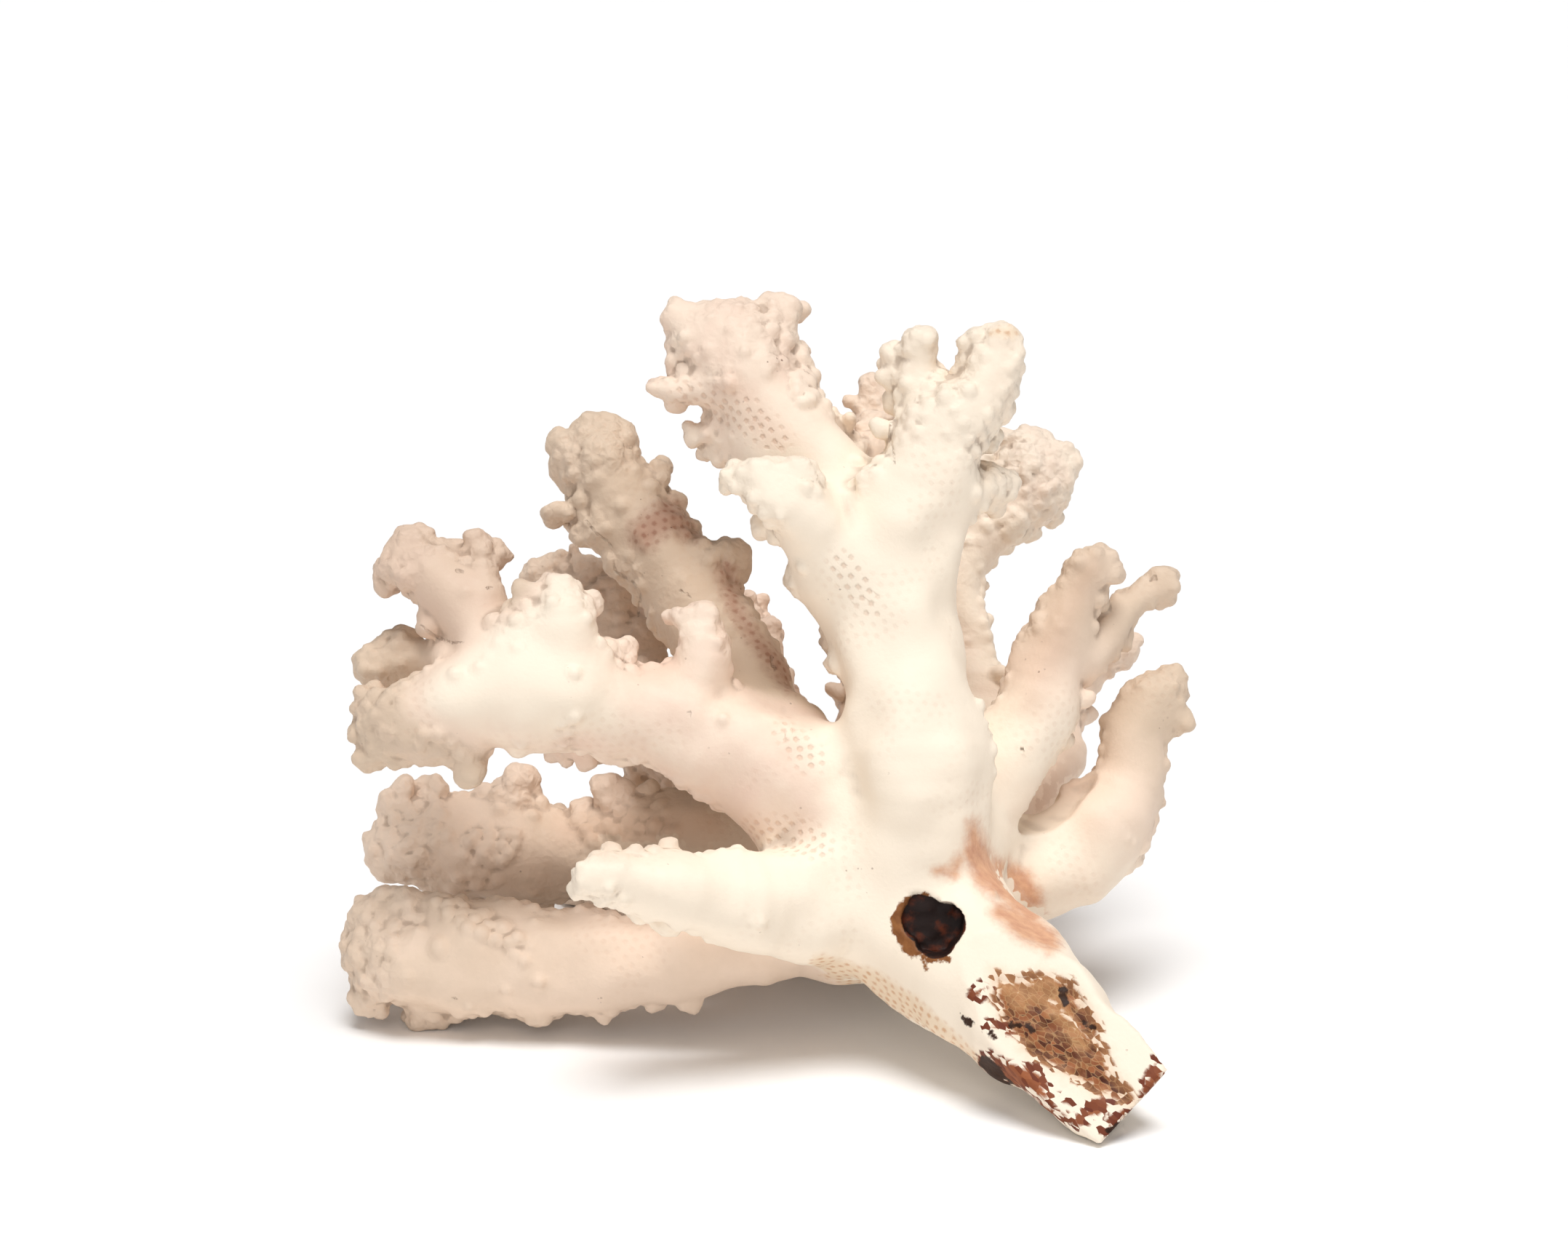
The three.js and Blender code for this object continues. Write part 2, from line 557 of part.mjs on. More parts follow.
// The distance of a point from the skin of a run of beads.
function distanceTo(beads, x, y, z) {
  let least = Infinity;
  for (let i = 1; i < beads.length; i++) {
    const a = beads[i - 1];
    const b = beads[i];
    const dx = b.at.x - a.at.x;
    const dy = b.at.y - a.at.y;
    const dz = b.at.z - a.at.z;
    const px = x - a.at.x;
    const py = y - a.at.y;
    const pz = z - a.at.z;
    const share = (px * dx + py * dy + pz * dz) / (dx * dx + dy * dy + dz * dz);
    const t = Math.min(Math.max(share, 0), 1);
    const radius = a.radius + (b.radius - a.radius) * t;
    least = Math.min(least, Math.hypot(px - dx * t, py - dy * t, pz - dz * t) - radius);
  }
  return least;
}

// The smaller of two distances, rounded over a width where they are nearly the same.
function softMin(a, b, width) {
  const overlap = Math.max(width - Math.abs(a - b), 0) / width;
  return Math.min(a, b) - (overlap * overlap * width) / 4;
}

// Slow waves over the surface, so that no branch is a plain tube.
function swell(x, y, z) {
  const first = Math.sin(0.61 * x + 1.3 * Math.sin(0.37 * y));
  const second = Math.sin(0.67 * y + 1.1 * Math.sin(0.41 * z));
  const third = Math.sin(0.57 * z + 1.2 * Math.sin(0.43 * x));
  return (SWELL * (first + second + third)) / 1.5;
}

// The whole coral: its axes first, then twigs, lobes and knobs.
function wholeField() {
  const grown = BRANCHES.map((branch) => branch.lines.map(beadsOf));
  const field = new Field(boxRound(grown.flat(2)));
  for (const [axis] of grown) field.grow(axis, FORK_BLEND);
  for (const [, ...twigs] of grown) {
    for (const twig of twigs) field.grow(twig, TWIG_BLEND);
  }
  BRANCHES.forEach(({ bare, lobes = [] }, b) => {
    for (const lobe of lobesOf(lobes, grown[b])) field.grow(lobe, LOBE_BLEND);
    grown[b].forEach((beads, line) => {
      const knobs = knobsOf(beads, b * 31 + line * 7, line ? TWIG_BARE : bare, lobes.length > 0);
      for (const knob of knobs) field.grow(knob, LOBE_BLEND);
    });
  });
  field.visit(field.box, (index, x, y, z) => {
    if (field.values[index] < REACH) field.values[index] += SLIM + swell(x, y, z);
  });
  return field;
}

// The six tetrahedra of a grid cell, each a walk from its first corner to its last along one edge at a time.
const WALKS = [[0, 1, 2], [0, 2, 1], [1, 0, 2], [1, 2, 0], [2, 0, 1], [2, 1, 0]];
const CLEAR_OF_CORNERS = 0.08; // how close to a grid point a crossing may come, as a share of the edge

// The surface where a field is zero, as points and triangles that close on themselves.
class Surface {
  constructor(field) {
    this.field = field;
    this.points = [];
    this.faces = [];
    this.made = new Map();
    const { count } = field;
    field.visit(field.box, (corner) => {
      const [i, j, k] = this.cellOf(corner);
      const inner = i < count[0] - 1 && j < count[1] - 1 && k < count[2] - 1;
      if (inner && Math.abs(field.values[corner]) < 4 * GRID) this.addCell(corner);
    });
  }

  cellOf(index) {
    const [wide, deep] = this.field.count;
    return [index % wide, Math.floor(index / wide) % deep, Math.floor(index / (wide * deep))];
  }

  place(index) {
    return new THREE.Vector3(...this.cellOf(index)).multiplyScalar(GRID).add(this.field.low);
  }

  // The point where the surface crosses the edge between two grid points, made once.
  crossing(inside, outside) {
    const { values } = this.field;
    const key = Math.min(inside, outside) * values.length + Math.max(inside, outside);
    if (!this.made.has(key)) {
      const share = values[inside] / (values[inside] - values[outside]);
      const kept = THREE.MathUtils.clamp(share, CLEAR_OF_CORNERS, 1 - CLEAR_OF_CORNERS);
      this.made.set(key, this.points.push(this.place(inside).lerp(this.place(outside), kept)) - 1);
    }
    return this.made.get(key);
  }

  // A triangle that faces away from a point inside the coral.
  addFace(a, b, c, inner) {
    const [p, q, r] = [a, b, c].map((v) => this.points[v]);
    const normal = q.clone().sub(p).cross(r.clone().sub(p));
    this.faces.push(normal.dot(p.clone().sub(inner)) > 0 ? [a, b, c] : [a, c, b]);
  }

  addCell(corner) {
    const { values, count } = this.field;
    const strides = [1, count[0], count[0] * count[1]];
    for (const axes of WALKS) {
      const walk = [corner];
      for (const axis of axes) walk.push(walk[walk.length - 1] + strides[axis]);
      const inside = walk.filter((v) => values[v] < 0);
      const outside = walk.filter((v) => values[v] >= 0);
      if (inside.length && outside.length) this.addTetrahedron(inside, outside);
    }
  }

  addTetrahedron(inside, outside) {
    const inner = inside.reduce((sum, v) => sum.add(this.place(v)), new THREE.Vector3());
    inner.divideScalar(inside.length);
    if (inside.length === 2) {
      const around = [[0, 0], [0, 1], [1, 1], [1, 0]];
      const ring = around.map(([a, b]) => this.crossing(inside[a], outside[b]));
      this.addFace(ring[0], ring[1], ring[2], inner);
      this.addFace(ring[0], ring[2], ring[3], inner);
    } else if (inside.length === 1) {
      this.addFace(...outside.map((v) => this.crossing(inside[0], v)), inner);
    } else {
      this.addFace(...inside.map((v) => this.crossing(v, outside[0])), inner);
    }
  }
}

// A queue that gives back the entry with the least cost first.
class Queue {
  constructor() {
    this.heap = [];
  }

  add(entry) {
    const { heap } = this;
    let i = heap.push(entry) - 1;
    while (i && heap[(i - 1) >> 1].cost > entry.cost) {
      heap[i] = heap[(i - 1) >> 1];
      i = (i - 1) >> 1;
    }
    heap[i] = entry;
  }

  take() {
    const { heap } = this;
    const first = heap[0];
    const last = heap.pop();
    if (!heap.length) return first;
    let i = 0;
    for (;;) {
      let child = 2 * i + 1;
      if (child >= heap.length) break;
      if (child + 1 < heap.length && heap[child + 1].cost < heap[child].cost) child++;
      if (heap[child].cost >= last.cost) break;
      heap[i] = heap[child];
      i = child;
    }
    heap[i] = last;
    return first;
  }
}

const LENGTH_COST = 1e-5; // what a long edge costs to merge, so that flat stretches keep even triangles
const LEAST_TURN = 0.2; // a merge may turn a triangle until its normals' product falls to this

// A surface whose edges are merged to one point again and again, where that moves it least.
class Simplifier {
  constructor({ points, faces }) {
    this.points = points;
    this.faces = faces;
    this.around = points.map(() => new Set());
    this.planes = points.map(() => new Float64Array(10));
    this.age = new Int32Array(points.length);
    this.queue = new Queue();
    faces.forEach((face, f) => {
      this.addPlane(face);
      for (const v of face) this.around[v].add(f);
    });
    for (const [a, b, c] of faces) {
      for (const [u, v] of [[a, b], [b, c], [c, a]]) {
        if (u < v) this.consider(u, v);
      }
    }
  }

  normalOf(corners) {
    const [a, b, c] = corners;
    return new THREE.Vector3().crossVectors(b.clone().sub(a), c.clone().sub(a));
  }

  // Adds a triangle's plane to the error measure of its three corners.
  addPlane(face) {
    const normal = this.normalOf(face.map((v) => this.points[v]));
    const area = normal.length();
    normal.divideScalar(area || 1);
    const plane = [normal.x, normal.y, normal.z, -normal.dot(this.points[face[0]])];
    let entry = 0;
    for (let i = 0; i < 4; i++) {
      for (let j = i; j < 4; j++) {
        for (const v of face) this.planes[v][entry] += plane[i] * plane[j] * area;
        entry++;
      }
    }
  }

  // The sum of the squared distances of a point from the planes in a measure.
  error(q, { x, y, z }) {
    const square = q[0] * x * x + q[4] * y * y + q[7] * z * z;
    const mixed = q[1] * x * y + q[2] * x * z + q[5] * y * z;
    const straight = q[3] * x + q[6] * y + q[8] * z;
    return square + 2 * (mixed + straight) + q[9];
  }

  // Queues the merge of an edge at the best of its middle, its ends and the point that its planes ask for.
  consider(u, v) {
    const [from, to] = [this.points[u], this.points[v]];
    const q = this.planes[u].map((value, i) => value + this.planes[v][i]);
    const matrix = new THREE.Matrix3().set(q[0], q[1], q[2], q[1], q[4], q[5], q[2], q[5], q[7]);
    const middle = from.clone().lerp(to, 0.5);
    const reach = from.distanceTo(to);
    const options = [middle, from, to];
    if (Math.abs(matrix.determinant()) > 1e-6) {
      const best = new THREE.Vector3(-q[3], -q[6], -q[8]).applyMatrix3(matrix.invert());
      if (best.distanceTo(middle) < reach) options.push(best);
    }
    const costs = options.map((option) => this.error(q, option) + LENGTH_COST * reach);
    const cost = Math.min(...costs);
    this.queue.add({ cost, u, v, at: options[costs.indexOf(cost)], ages: this.age[u] + this.age[v] });
  }

  neighbours(v) {
    return new Set([...this.around[v]].flatMap((f) => this.faces[f].filter((w) => w !== v)));
  }

  // Whether a triangle of v that other isn't part of would turn over if v moved.
  turnsOver(v, other, at) {
    return [...this.around[v]].some((f) => {
      if (this.faces[f].includes(other)) return false;
      const before = this.normalOf(this.faces[f].map((w) => this.points[w])).normalize();
      const after = this.normalOf(this.faces[f].map((w) => (w === v ? at : this.points[w]))).normalize();
      return before.dot(after) < LEAST_TURN;
    });
  }

  // Moves v to u's new place and returns how many triangles that closes.
  merge(u, v, at) {
    let closed = 0;
    for (const f of [...this.around[v]]) {
      if (this.faces[f].includes(u)) {
        for (const w of this.faces[f]) this.around[w].delete(f);
        this.faces[f] = null;
        closed++;
      } else {
        this.faces[f] = this.faces[f].map((w) => (w === v ? u : w));
        this.around[u].add(f);
      }
    }
    this.around[v].clear();
    this.points[u] = at;
    this.planes[u] = this.planes[u].map((value, i) => value + this.planes[v][i]);
    this.age[u]++;
    this.age[v]++;
    for (const w of this.neighbours(u)) this.consider(u, w);
    return closed;
  }

  reduceTo(target) {
    let left = this.faces.length;
    while (left > target && this.queue.heap.length) {
      const { u, v, at, ages } = this.queue.take();
      if (!this.around[u].size || !this.around[v].size || ages !== this.age[u] + this.age[v]) continue;
      const nextToU = this.neighbours(u);
      const shared = [...this.neighbours(v)].filter((w) => nextToU.has(w));
      if (!nextToU.has(v) || shared.length !== 2) continue;
      if (this.turnsOver(u, v, at) || this.turnsOver(v, u, at)) continue;
      left -= this.merge(u, v, at);
    }
    return this.faces.filter(Boolean);
  }
}

// A closed solid of points and triangles.
function solidOf(vertProperties, triVerts) {
  return new wasm.Manifold(new wasm.Mesh({ numProp: 3, vertProperties, triVerts }));
}

// The whole coral as one solid with few triangles.
function wholeCoral() {
  const surface = new Surface(wholeField());
  const faces = new Simplifier(surface).reduceTo(TRIANGLES);
  const places = surface.points.flatMap(({ x, y, z }) => [x, y, z]);
  return solidOf(new Float32Array(places), new Uint32Array(faces.flat()));
}

// A disc that lies across a direction, with its middle at a point.
function discAt(at, direction, radius, depth, sides = 24) {
  const shape = new THREE.CylinderGeometry(radius, radius, depth, sides).rotateX(Math.PI / 2);
  shape.deleteAttribute("normal");
  shape.deleteAttribute("uv");
  const closed = mergeVertices(shape);
  const axis = new THREE.Vector3(0, 0, 1);
  closed.applyQuaternion(new THREE.Quaternion().setFromUnitVectors(axis, direction.clone().normalize()));
  closed.translate(at.x, at.y, at.z);
  return solidOf(closed.getAttribute("position").array, new Uint32Array(closed.index.array));
}

// The thin saw cut that parts a branch from what carries it.
function partingOf({ lines, part, wide = SAW_WIDE }) {
  const beads = beadsOf(lines[0]);
  const k = beads.findIndex((bead) => bead.along >= part);
  const axis = beads[k + 1].at.clone().sub(beads[k - 1].at);
  return discAt(beads[k].at, axis, beads[k].radius + wide, SAW_GAP);
}

// What is taken off: the sawn face of the stem, its end, the bore, and the spots that the coral lies on.
function cuts() {
  const [low, high, side] = SAWN_FACE.map(seenAt);
  const sawn = high.clone().sub(low).cross(side.clone().sub(low)).normalize();
  const overFace = low.clone().lerp(high, 0.5).addScaledVector(sawn, SAW_DEPTH / 2);
  const end = leaning(...END_LEAN).normalize();
  const pastEnd = seenAt(STEM_END).addScaledVector(end, SAW_DEPTH / 2);
  const down = new THREE.Vector3(0, 0, -1);
  return [
    discAt(overFace, sawn, SAWN_RADIUS, SAW_DEPTH, 40),
    discAt(pastEnd, end, END_RADIUS, SAW_DEPTH),
    discAt(seenAt(BORE), AWAY, BORE_RADIUS, BORE_DEPTH, 12),
    discAt(down.clone().multiplyScalar(SAW_DEPTH / 2), down, FLOOR_RADIUS, SAW_DEPTH),
  ];
}

function coralMaterial() {
  return new THREE.MeshStandardMaterial({ color: COLOUR, roughness: 0.75, metalness: 0 });
}

function meshOf(solid, name) {
  const { vertProperties, triVerts } = solid.getMesh();
  const geometry = new THREE.BufferGeometry();
  geometry.setAttribute("position", new THREE.BufferAttribute(vertProperties, 3));
  geometry.setIndex(new THREE.BufferAttribute(triVerts, 1));
  geometry.computeVertexNormals();
  const mesh = new THREE.Mesh(geometry, coralMaterial());
  mesh.name = name;
  return mesh;
}

// The piece whose surface comes nearest to a point.
function nearestPiece(pieces, point) {
  const distances = pieces.map((piece) => {
    const { vertProperties } = piece.getMesh();
    const corner = new THREE.Vector3();
    let least = Infinity;
    for (let i = 0; i < vertProperties.length; i += 3) {
      least = Math.min(least, corner.fromArray(vertProperties, i).distanceTo(point));
    }
    return least;
  });
  return pieces[distances.indexOf(Math.min(...distances))];
}

const PAST_PARTING = 4; // how far past its parting a branch is looked for
const CRUMB = 1; // what a cut leaves under this many cubic millimetres is dropped

function build() {
  let whole = wholeCoral();
  for (const cut of cuts()) whole = whole.subtract(cut);
  const parted = BRANCHES.filter(({ part }) => part);
  for (const branch of parted) whole = whole.subtract(partingOf(branch));
  const pieces = whole.decompose().filter((piece) => piece.volume() > CRUMB);
  const coral = new THREE.Group();
  for (const { name, lines, part = 0 } of [BRANCHES[0], ...parted]) {
    const inner = beadsOf(lines[0]).find((bead) => bead.along >= part + PAST_PARTING).at;
    coral.add(meshOf(nearestPiece(pieces, inner), name));
  }
  return coral;
}

export default build();
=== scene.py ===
import itertools
import math

import bpy
import numpy as np
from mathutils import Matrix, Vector
from mathutils.kdtree import KDTree


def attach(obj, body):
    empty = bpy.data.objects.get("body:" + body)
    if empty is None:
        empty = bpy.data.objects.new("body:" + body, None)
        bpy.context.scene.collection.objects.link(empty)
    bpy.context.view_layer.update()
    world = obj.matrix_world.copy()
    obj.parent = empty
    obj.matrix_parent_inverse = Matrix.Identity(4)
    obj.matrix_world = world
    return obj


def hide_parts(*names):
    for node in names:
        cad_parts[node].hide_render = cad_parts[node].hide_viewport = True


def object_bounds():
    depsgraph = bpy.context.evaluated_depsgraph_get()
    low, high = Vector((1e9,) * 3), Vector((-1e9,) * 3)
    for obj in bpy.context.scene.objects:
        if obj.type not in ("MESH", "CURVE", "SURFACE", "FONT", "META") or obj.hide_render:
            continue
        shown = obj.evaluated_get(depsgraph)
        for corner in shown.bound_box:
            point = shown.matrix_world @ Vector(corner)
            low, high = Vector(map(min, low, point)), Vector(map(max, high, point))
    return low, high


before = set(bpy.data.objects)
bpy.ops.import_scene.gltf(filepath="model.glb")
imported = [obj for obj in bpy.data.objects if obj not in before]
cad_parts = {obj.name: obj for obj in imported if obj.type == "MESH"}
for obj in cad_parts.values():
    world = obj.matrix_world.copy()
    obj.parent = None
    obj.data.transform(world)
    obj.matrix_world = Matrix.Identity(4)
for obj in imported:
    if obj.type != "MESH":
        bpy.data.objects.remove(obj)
cad_low, cad_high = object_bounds()

# Lengths are in millimetres until the meshes are made, as in the source of the solids.
MM = 0.001
VIEW_DISTANCE = 400.0  # from the eye to the middle of the view
VIEW_TILT = math.radians(15)  # how far the eye looks down
VIEW_WIDTH = 215.6  # what the picture's long side takes in at the middle of the view
MIDDLE = np.array([2.16, -3.35, 53.92])
RIGHT = np.array([1.0, 0.0, 0.0])
UP = np.array([0.0, math.sin(VIEW_TILT), math.cos(VIEW_TILT)])
AWAY = np.array([0.0, math.cos(VIEW_TILT), -math.sin(VIEW_TILT)])

STEP = 0.48  # spacing of the points where the shape is measured
MARGIN = 2.0  # room round the solids
REACH = 5.0  # how far from a branch its distance is measured
FAR = 99.0  # a distance past all that is measured
VIEW_REACH = 100  # how far from the middle of the view anything is
FORK_BLEND = 4.5
TWIG_BLEND = 2.0
LOBE_BLEND = 0.8
EVERYWHERE = -9  # the bare stretch of a line that warts cover from its root
KNOB_SPACING = 3.1
KNOB_RADIUS = 1.15
KNOB_SPREAD = 0.9
THIN = 0.3  # how much of a branch's radius the warts on it make up
WART_SPACING = 1.5  # between the middles of the small warts
WART_RADIUS = 1.05
WART_BLEND = 0.4
WART_STAND = -0.72  # how far above the skin the middle of the lowest wart stands, in its radii
LUMP_STAND = -0.42  # the same for the low lumps of the front
ROSETTE_SPACING = 1.3
PIT_SPACING = 1.25
SWELL = 0.35
SLIM = 0.3  # what the blends add to the thickness, taken off again
MARK_REACH = 4.0  # how far from a mark its distance is kept
CAP_DEPTH = 0.8  # how far under the skin the inner faces between two pieces stay
SEAM_DEPTH = 1.2  # how far under the skin a place is that decides which piece the skin above it belongs to


# The coral's branches. A row of a line is (across, up, back, radius) as the eye measures them at the middle
# of the view, and a lobe of the margin is (across, up, radius). The first line of a branch is its axis and
# the others are its twigs. "on" is the piece that carries the branch, and past "part" millimetres of its axis
# it is a piece of its own. The first "bare" millimetres have no knobs, and "knobbly" is the share of its open
# faces that small warts cover. "tone" is how dark and taupe it is painted, from white at 0 to taupe at 1, at
# its root and at its tip: partly its own tan and partly painted shade on the branches that lie further back
# and underneath. "blush" is how pink it is.
BRANCHES = [
    dict(
        name="stem", on="hub", part=6, bare=999, knobbly=0, tone=(0, 0), blush=0,
        lines=[
            [(14, -35, -5, 12.5), (24, -44.5, -14, 11.5), (35, -54, -24, 10), (46, -64, -34, 7.5),
             (54, -71, -41, 6.5)],
            [(11, -30, -4, 10), (14, -36, 3, 12)],
        ],
    ),
    dict(
        name="column", on="hub", part=25, bare=60, knobbly=0, tone=(0, 0.05), blush=0.2,
        lobes=[
            (5, 3.1, 1.3), (6, 0.2, 1.3), (6.8, -1.9, 1.2),
        ],
        lines=[
            [(15, -34, -6, 11), (18, -24, -13, 10.3), (18, -16, -14, 9.6), (16.3, -6, -11, 8.8),
             (14.5, 3, -9, 9.2), (13.5, 10, -8, 8.6)],
            [(11, -5, -10, 3.2), (7.8, -4.8, -10, 1.9)],
            [(7, 7, -9, 4.5), (2, 7.3, -9, 2.5)],
            [(7, 12, -10, 4.5), (0, 13.6, -11, 3), (-2.8, 14, -11, 2.2)],
            [(12, -1, -5, 4), (7.6, -0.6, -1, 2.8)],
            [(22.4, -8, -14, 3), (24.4, -12.5, -14, 3.4), (24.8, -18, -14, 4), (24, -24, -13, 4),
             (22, -29, -12, 4)],
        ],
    ),
    dict(
        name="crown_left", on="column", part=17.5, bare=21, knobbly=0.05, tone=(0, 0.32), blush=0.6,
        lobes=[
            (-14.1, 42.8, 2.1), (-11, 43.3, 1.9), (-8, 43.2, 1.7), (-5.4, 43.5, 1.5), (-1.5, 44.3, 1.7),
            (0.5, 44, 1.8), (-15.3, 38.7, 1), (-15.2, 37.3, 1.1), (-15.2, 35.9, 1.1), (-13.6, 34.7, 1.5),
            (-13.2, 27.6, 1.1), (-12.6, 25.4, 1.5), (-10.6, 24, 1.4), (-8.8, 23.4, 1.3), (1.7, 37.9, 1.1),
            (3, 36.6, 1.2), (3.7, 34.6, 1.3), (6.4, 29.2, 1.4), (5.8, 26.6, 1.6),
        ],
        lines=[
            [(12, 10, -7, 8), (7, 17, -4, 7.8), (1, 25, -2, 7.6), (-3.5, 32, -1, 7.6), (-6, 37, -1, 7)],
            [(-6, 35, -1, 6.5), (-10.5, 39, -1, 5.4), (-12.2, 41, -1, 3.6)],
            [(-5, 36, 0, 6), (-5.5, 40.6, 0, 4.1)],
            [(-2.5, 36, 0, 4.5), (-0.8, 41, 0, 3), (-0.5, 43.4, 0, 2.7)],
            [(-9, 33, -2, 4), (-14, 32.8, -3, 2.2), (-17.4, 32.6, -3, 1.5)],
            [(-2, 27, -1, 6), (-8.5, 26.6, -1, 4), (-12.2, 26.4, -1, 2)],
        ],
    ),
    dict(
        name="crown_front", on="column", bare=9, knobbly=0, tone=(0, 0), blush=0.1,
        lobes=[
            (-7.2, 20.3, 1.3), (-3.6, 17, 1.1),
        ],
        lines=[
            [(9, 6, -10, 6), (4.5, 13, -14, 5.6), (0.5, 18, -16.5, 4.8), (-1, 19.8, -17, 4)],
            [(0, 18, -16.5, 4), (-3.2, 21, -17.5, 2.8)],
            [(0.5, 18, -16.5, 4), (1.8, 21.2, -17.5, 2.7)],
            [(-1, 18, -16, 3.5), (-6, 20.4, -16, 2.1)],
        ],
    ),
    dict(
        name="crown_right", on="column", bare=6, knobbly=0.05, tone=(0, 0.08), blush=0,
        lobes=[
            (13, 27.8, 1.3), (13.9, 34.2, 1.2), (14.3, 37.7, 1.3), (15.5, 37.7, 1.2), (18.7, 38.6, 2.1),
            (23.7, 37.1, 0.9), (25.9, 38.9, 2.3), (30.1, 39, 2.5), (32.3, 35.5, 1.4), (28.6, 21.2, 1.4),
            (30.8, 19.7, 1.3), (28, 17.5, 1.2),
        ],
        lines=[
            [(14, 9, -8, 8.4), (18, 17, -10, 7.8), (20.5, 24, -10, 6.8), (22.5, 28, -10, 6.3)],
            [(20, 26, -10, 5), (19.2, 32, -9, 3.7), (18.9, 37.6, -9, 2.4)],
            [(18, 33, -8, 3.4), (15.3, 36.8, -7, 2)],
            [(23, 28, -10, 5.6), (27, 32, -10, 4.9), (28.8, 35.4, -10, 4.6)],
            [(28, 35, -10, 4), (26.1, 38.4, -10, 2.5)],
            [(28.8, 35, -10, 4), (30.3, 38.4, -10, 2.9)],
            [(22, 17, -9, 5), (27.5, 19.3, -6, 3), (30, 19.6, -5, 2)],
            [(15, 19, -11, 4), (12.9, 19.8, -13, 2)],
        ],
    ),
    dict(
        name="crown_rear", on="column", bare=6, knobbly=0.3, tone=(0.3, 0.4), blush=0.2,
        lines=[
            [(14, 8, -4, 7), (13.5, 15, 5, 4.6), (12, 20.5, 10, 3.6), (11, 22.5, 12, 2.8)],
            [(13, 16, 4, 5), (12.3, 23, 6, 4.4), (11.8, 28, 7.5, 2.4)],
            [(12.5, 22, 8, 4), (12, 29, 12, 3), (11.8, 33, 13, 2.2)],
            [(8, 22, 2, 4), (7.3, 27.5, 2, 2.6)],
        ],
    ),
    dict(
        name="left_arm", on="hub", part=27, bare=14, knobbly=0.05, tone=(0.3, 0.25), blush=0.7,
        lobes=[
            (-36.2, 5.5, 1.2), (-31.9, -17.7, 1.4), (-29.7, -18.7, 1.3), (-27.2, -18.2, 1.1),
            (-24.6, -17.3, 1.1), (-22.2, -18.3, 1.2), (-36.7, -16.7, 1.2),
        ],
        lines=[
            [(9, -28, -6, 11), (1, -21, -8, 9.6), (-7, -17, -9, 8.6), (-16, -13, -10, 7.3),
             (-26, -10.5, -12, 6.8), (-33, -9, -13, 7)],
            [(-12, -9, -10, 5), (-11, -3, -11, 4), (-11, 1.4, -11, 3)],
            [(-12, -2, -11, 3), (-14.3, 1.2, -11, 1.9)],
            [(-30, -8, -14, 6), (-30.4, -1, -15, 5.2), (-30.6, 3.5, -15, 3.6), (-30.5, 6, -15, 2)],
            [(-29, -6, -13, 5), (-24.5, -3.4, -11, 3), (-22, -3.4, -10, 2)],
            [(-26, -12, -6, 4.6), (-28.5, -15.6, -2, 3), (-31.5, -17.2, 0, 2.1)],
        ],
    ),
    dict(
        name="left_hand", on="left_arm", part=2, bare=7, knobbly=0.12, tone=(0.25, 1), blush=0.4,
        lobes=[
            (-52.6, -18.2, 1.3), (-43.6, -20.8, 1.2), (-42.7, -20.2, 1.4), (-52.7, -1.7, 1.2),
            (-56, -2.9, 1.4), (-57.9, -4.3, 1.4), (-57.9, -6.1, 1.5), (-58, -9.3, 1.1), (-58.7, -11.2, 1.1),
            (-59, -14.1, 1.3), (-57.3, -17.9, 1.5), (-55.6, -17.8, 1.4),
        ],
        lines=[
            [(-33, -9, -13, 7), (-42, -10, -13, 6.6), (-50, -11.5, -12, 6), (-55, -12, -11, 4.2)],
            [(-48, -12, -12, 5), (-54, -15.5, -11, 3.2), (-56.8, -17, -10, 2.2)],
            [(-44, -12, -13, 5), (-49.5, -15.4, -13, 4.2)],
            [(-54, -12, -11, 3.5), (-57.8, -13.7, -10, 2.1)],
            [(-44, -14, -13, 3.5), (-43.5, -17.5, -13, 2.4), (-43.2, -20, -13, 1.8)],
            [(-42, -6, -9, 5), (-47, -4.6, -3, 4), (-53, -5, -2, 3.8), (-56, -5.5, -2, 3.2)],
            [(-52, -4, -2, 3), (-52.8, -2.2, -2, 1.6)],
            [(-38, -6, -12, 6), (-36, -0.5, -13, 4.8), (-34.5, 3.6, -14, 2.8)],
        ],
    ),
    dict(
        name="left_head", on="left_hand", bare=6, knobbly=0.2, tone=(0.8, 1), blush=0.7,
        lobes=[
            (-55.6, 5.6, 1.2), (-54.6, 5.2, 1.1), (-51.6, 4.4, 1.2), (-49.1, 2, 1.3), (-48.7, 0.3, 1.3),
            (-55, 7.6, 1.3), (-53.4, 10.4, 1.5), (-51.6, 12.5, 1.7), (-49.4, 12.9, 1.3), (-47.4, 10.7, 1.3),
            (-45.5, 10.7, 1.3), (-42.1, 12, 1.9),
        ],
        lines=[
            [(-39, -5, -12, 5), (-43, 2, -8, 5), (-46.5, 6, -6, 5), (-50, 8.5, -5, 4.6),
             (-51, 10.5, -5, 3.6)],
            [(-42, 4, -7, 4), (-42, 9, -6, 2.7), (-41.9, 11.8, -6, 2)],
            [(-50, 8, -5, 4), (-54, 7, -4, 2.5)],
            [(-47, 6, -5, 4), (-46, 9.5, -4, 2.6)],
        ],
    ),
    dict(
        name="left_tower", on="hub", part=25.5, bare=8, knobbly=0.3, tone=(1.3, 0.9), blush=0.1,
        lobes=[
            (-26.7, 28, 1.7), (-24.2, 27.6, 1.7), (-22.5, 27.1, 1.5), (-28.1, 27.2, 1.4),
            (-30.3, 25.4, 1.7), (-30.9, 21.9, 1.1), (-30.8, 20.3, 1), (-32, 15.9, 1.1), (-28, 12.7, 1.3),
            (-21.8, 26, 1.3), (-17.2, 22, 1.4), (-14.8, 17.4, 1.4), (-12.4, 14, 1.4), (-7, 10.3, 1.7),
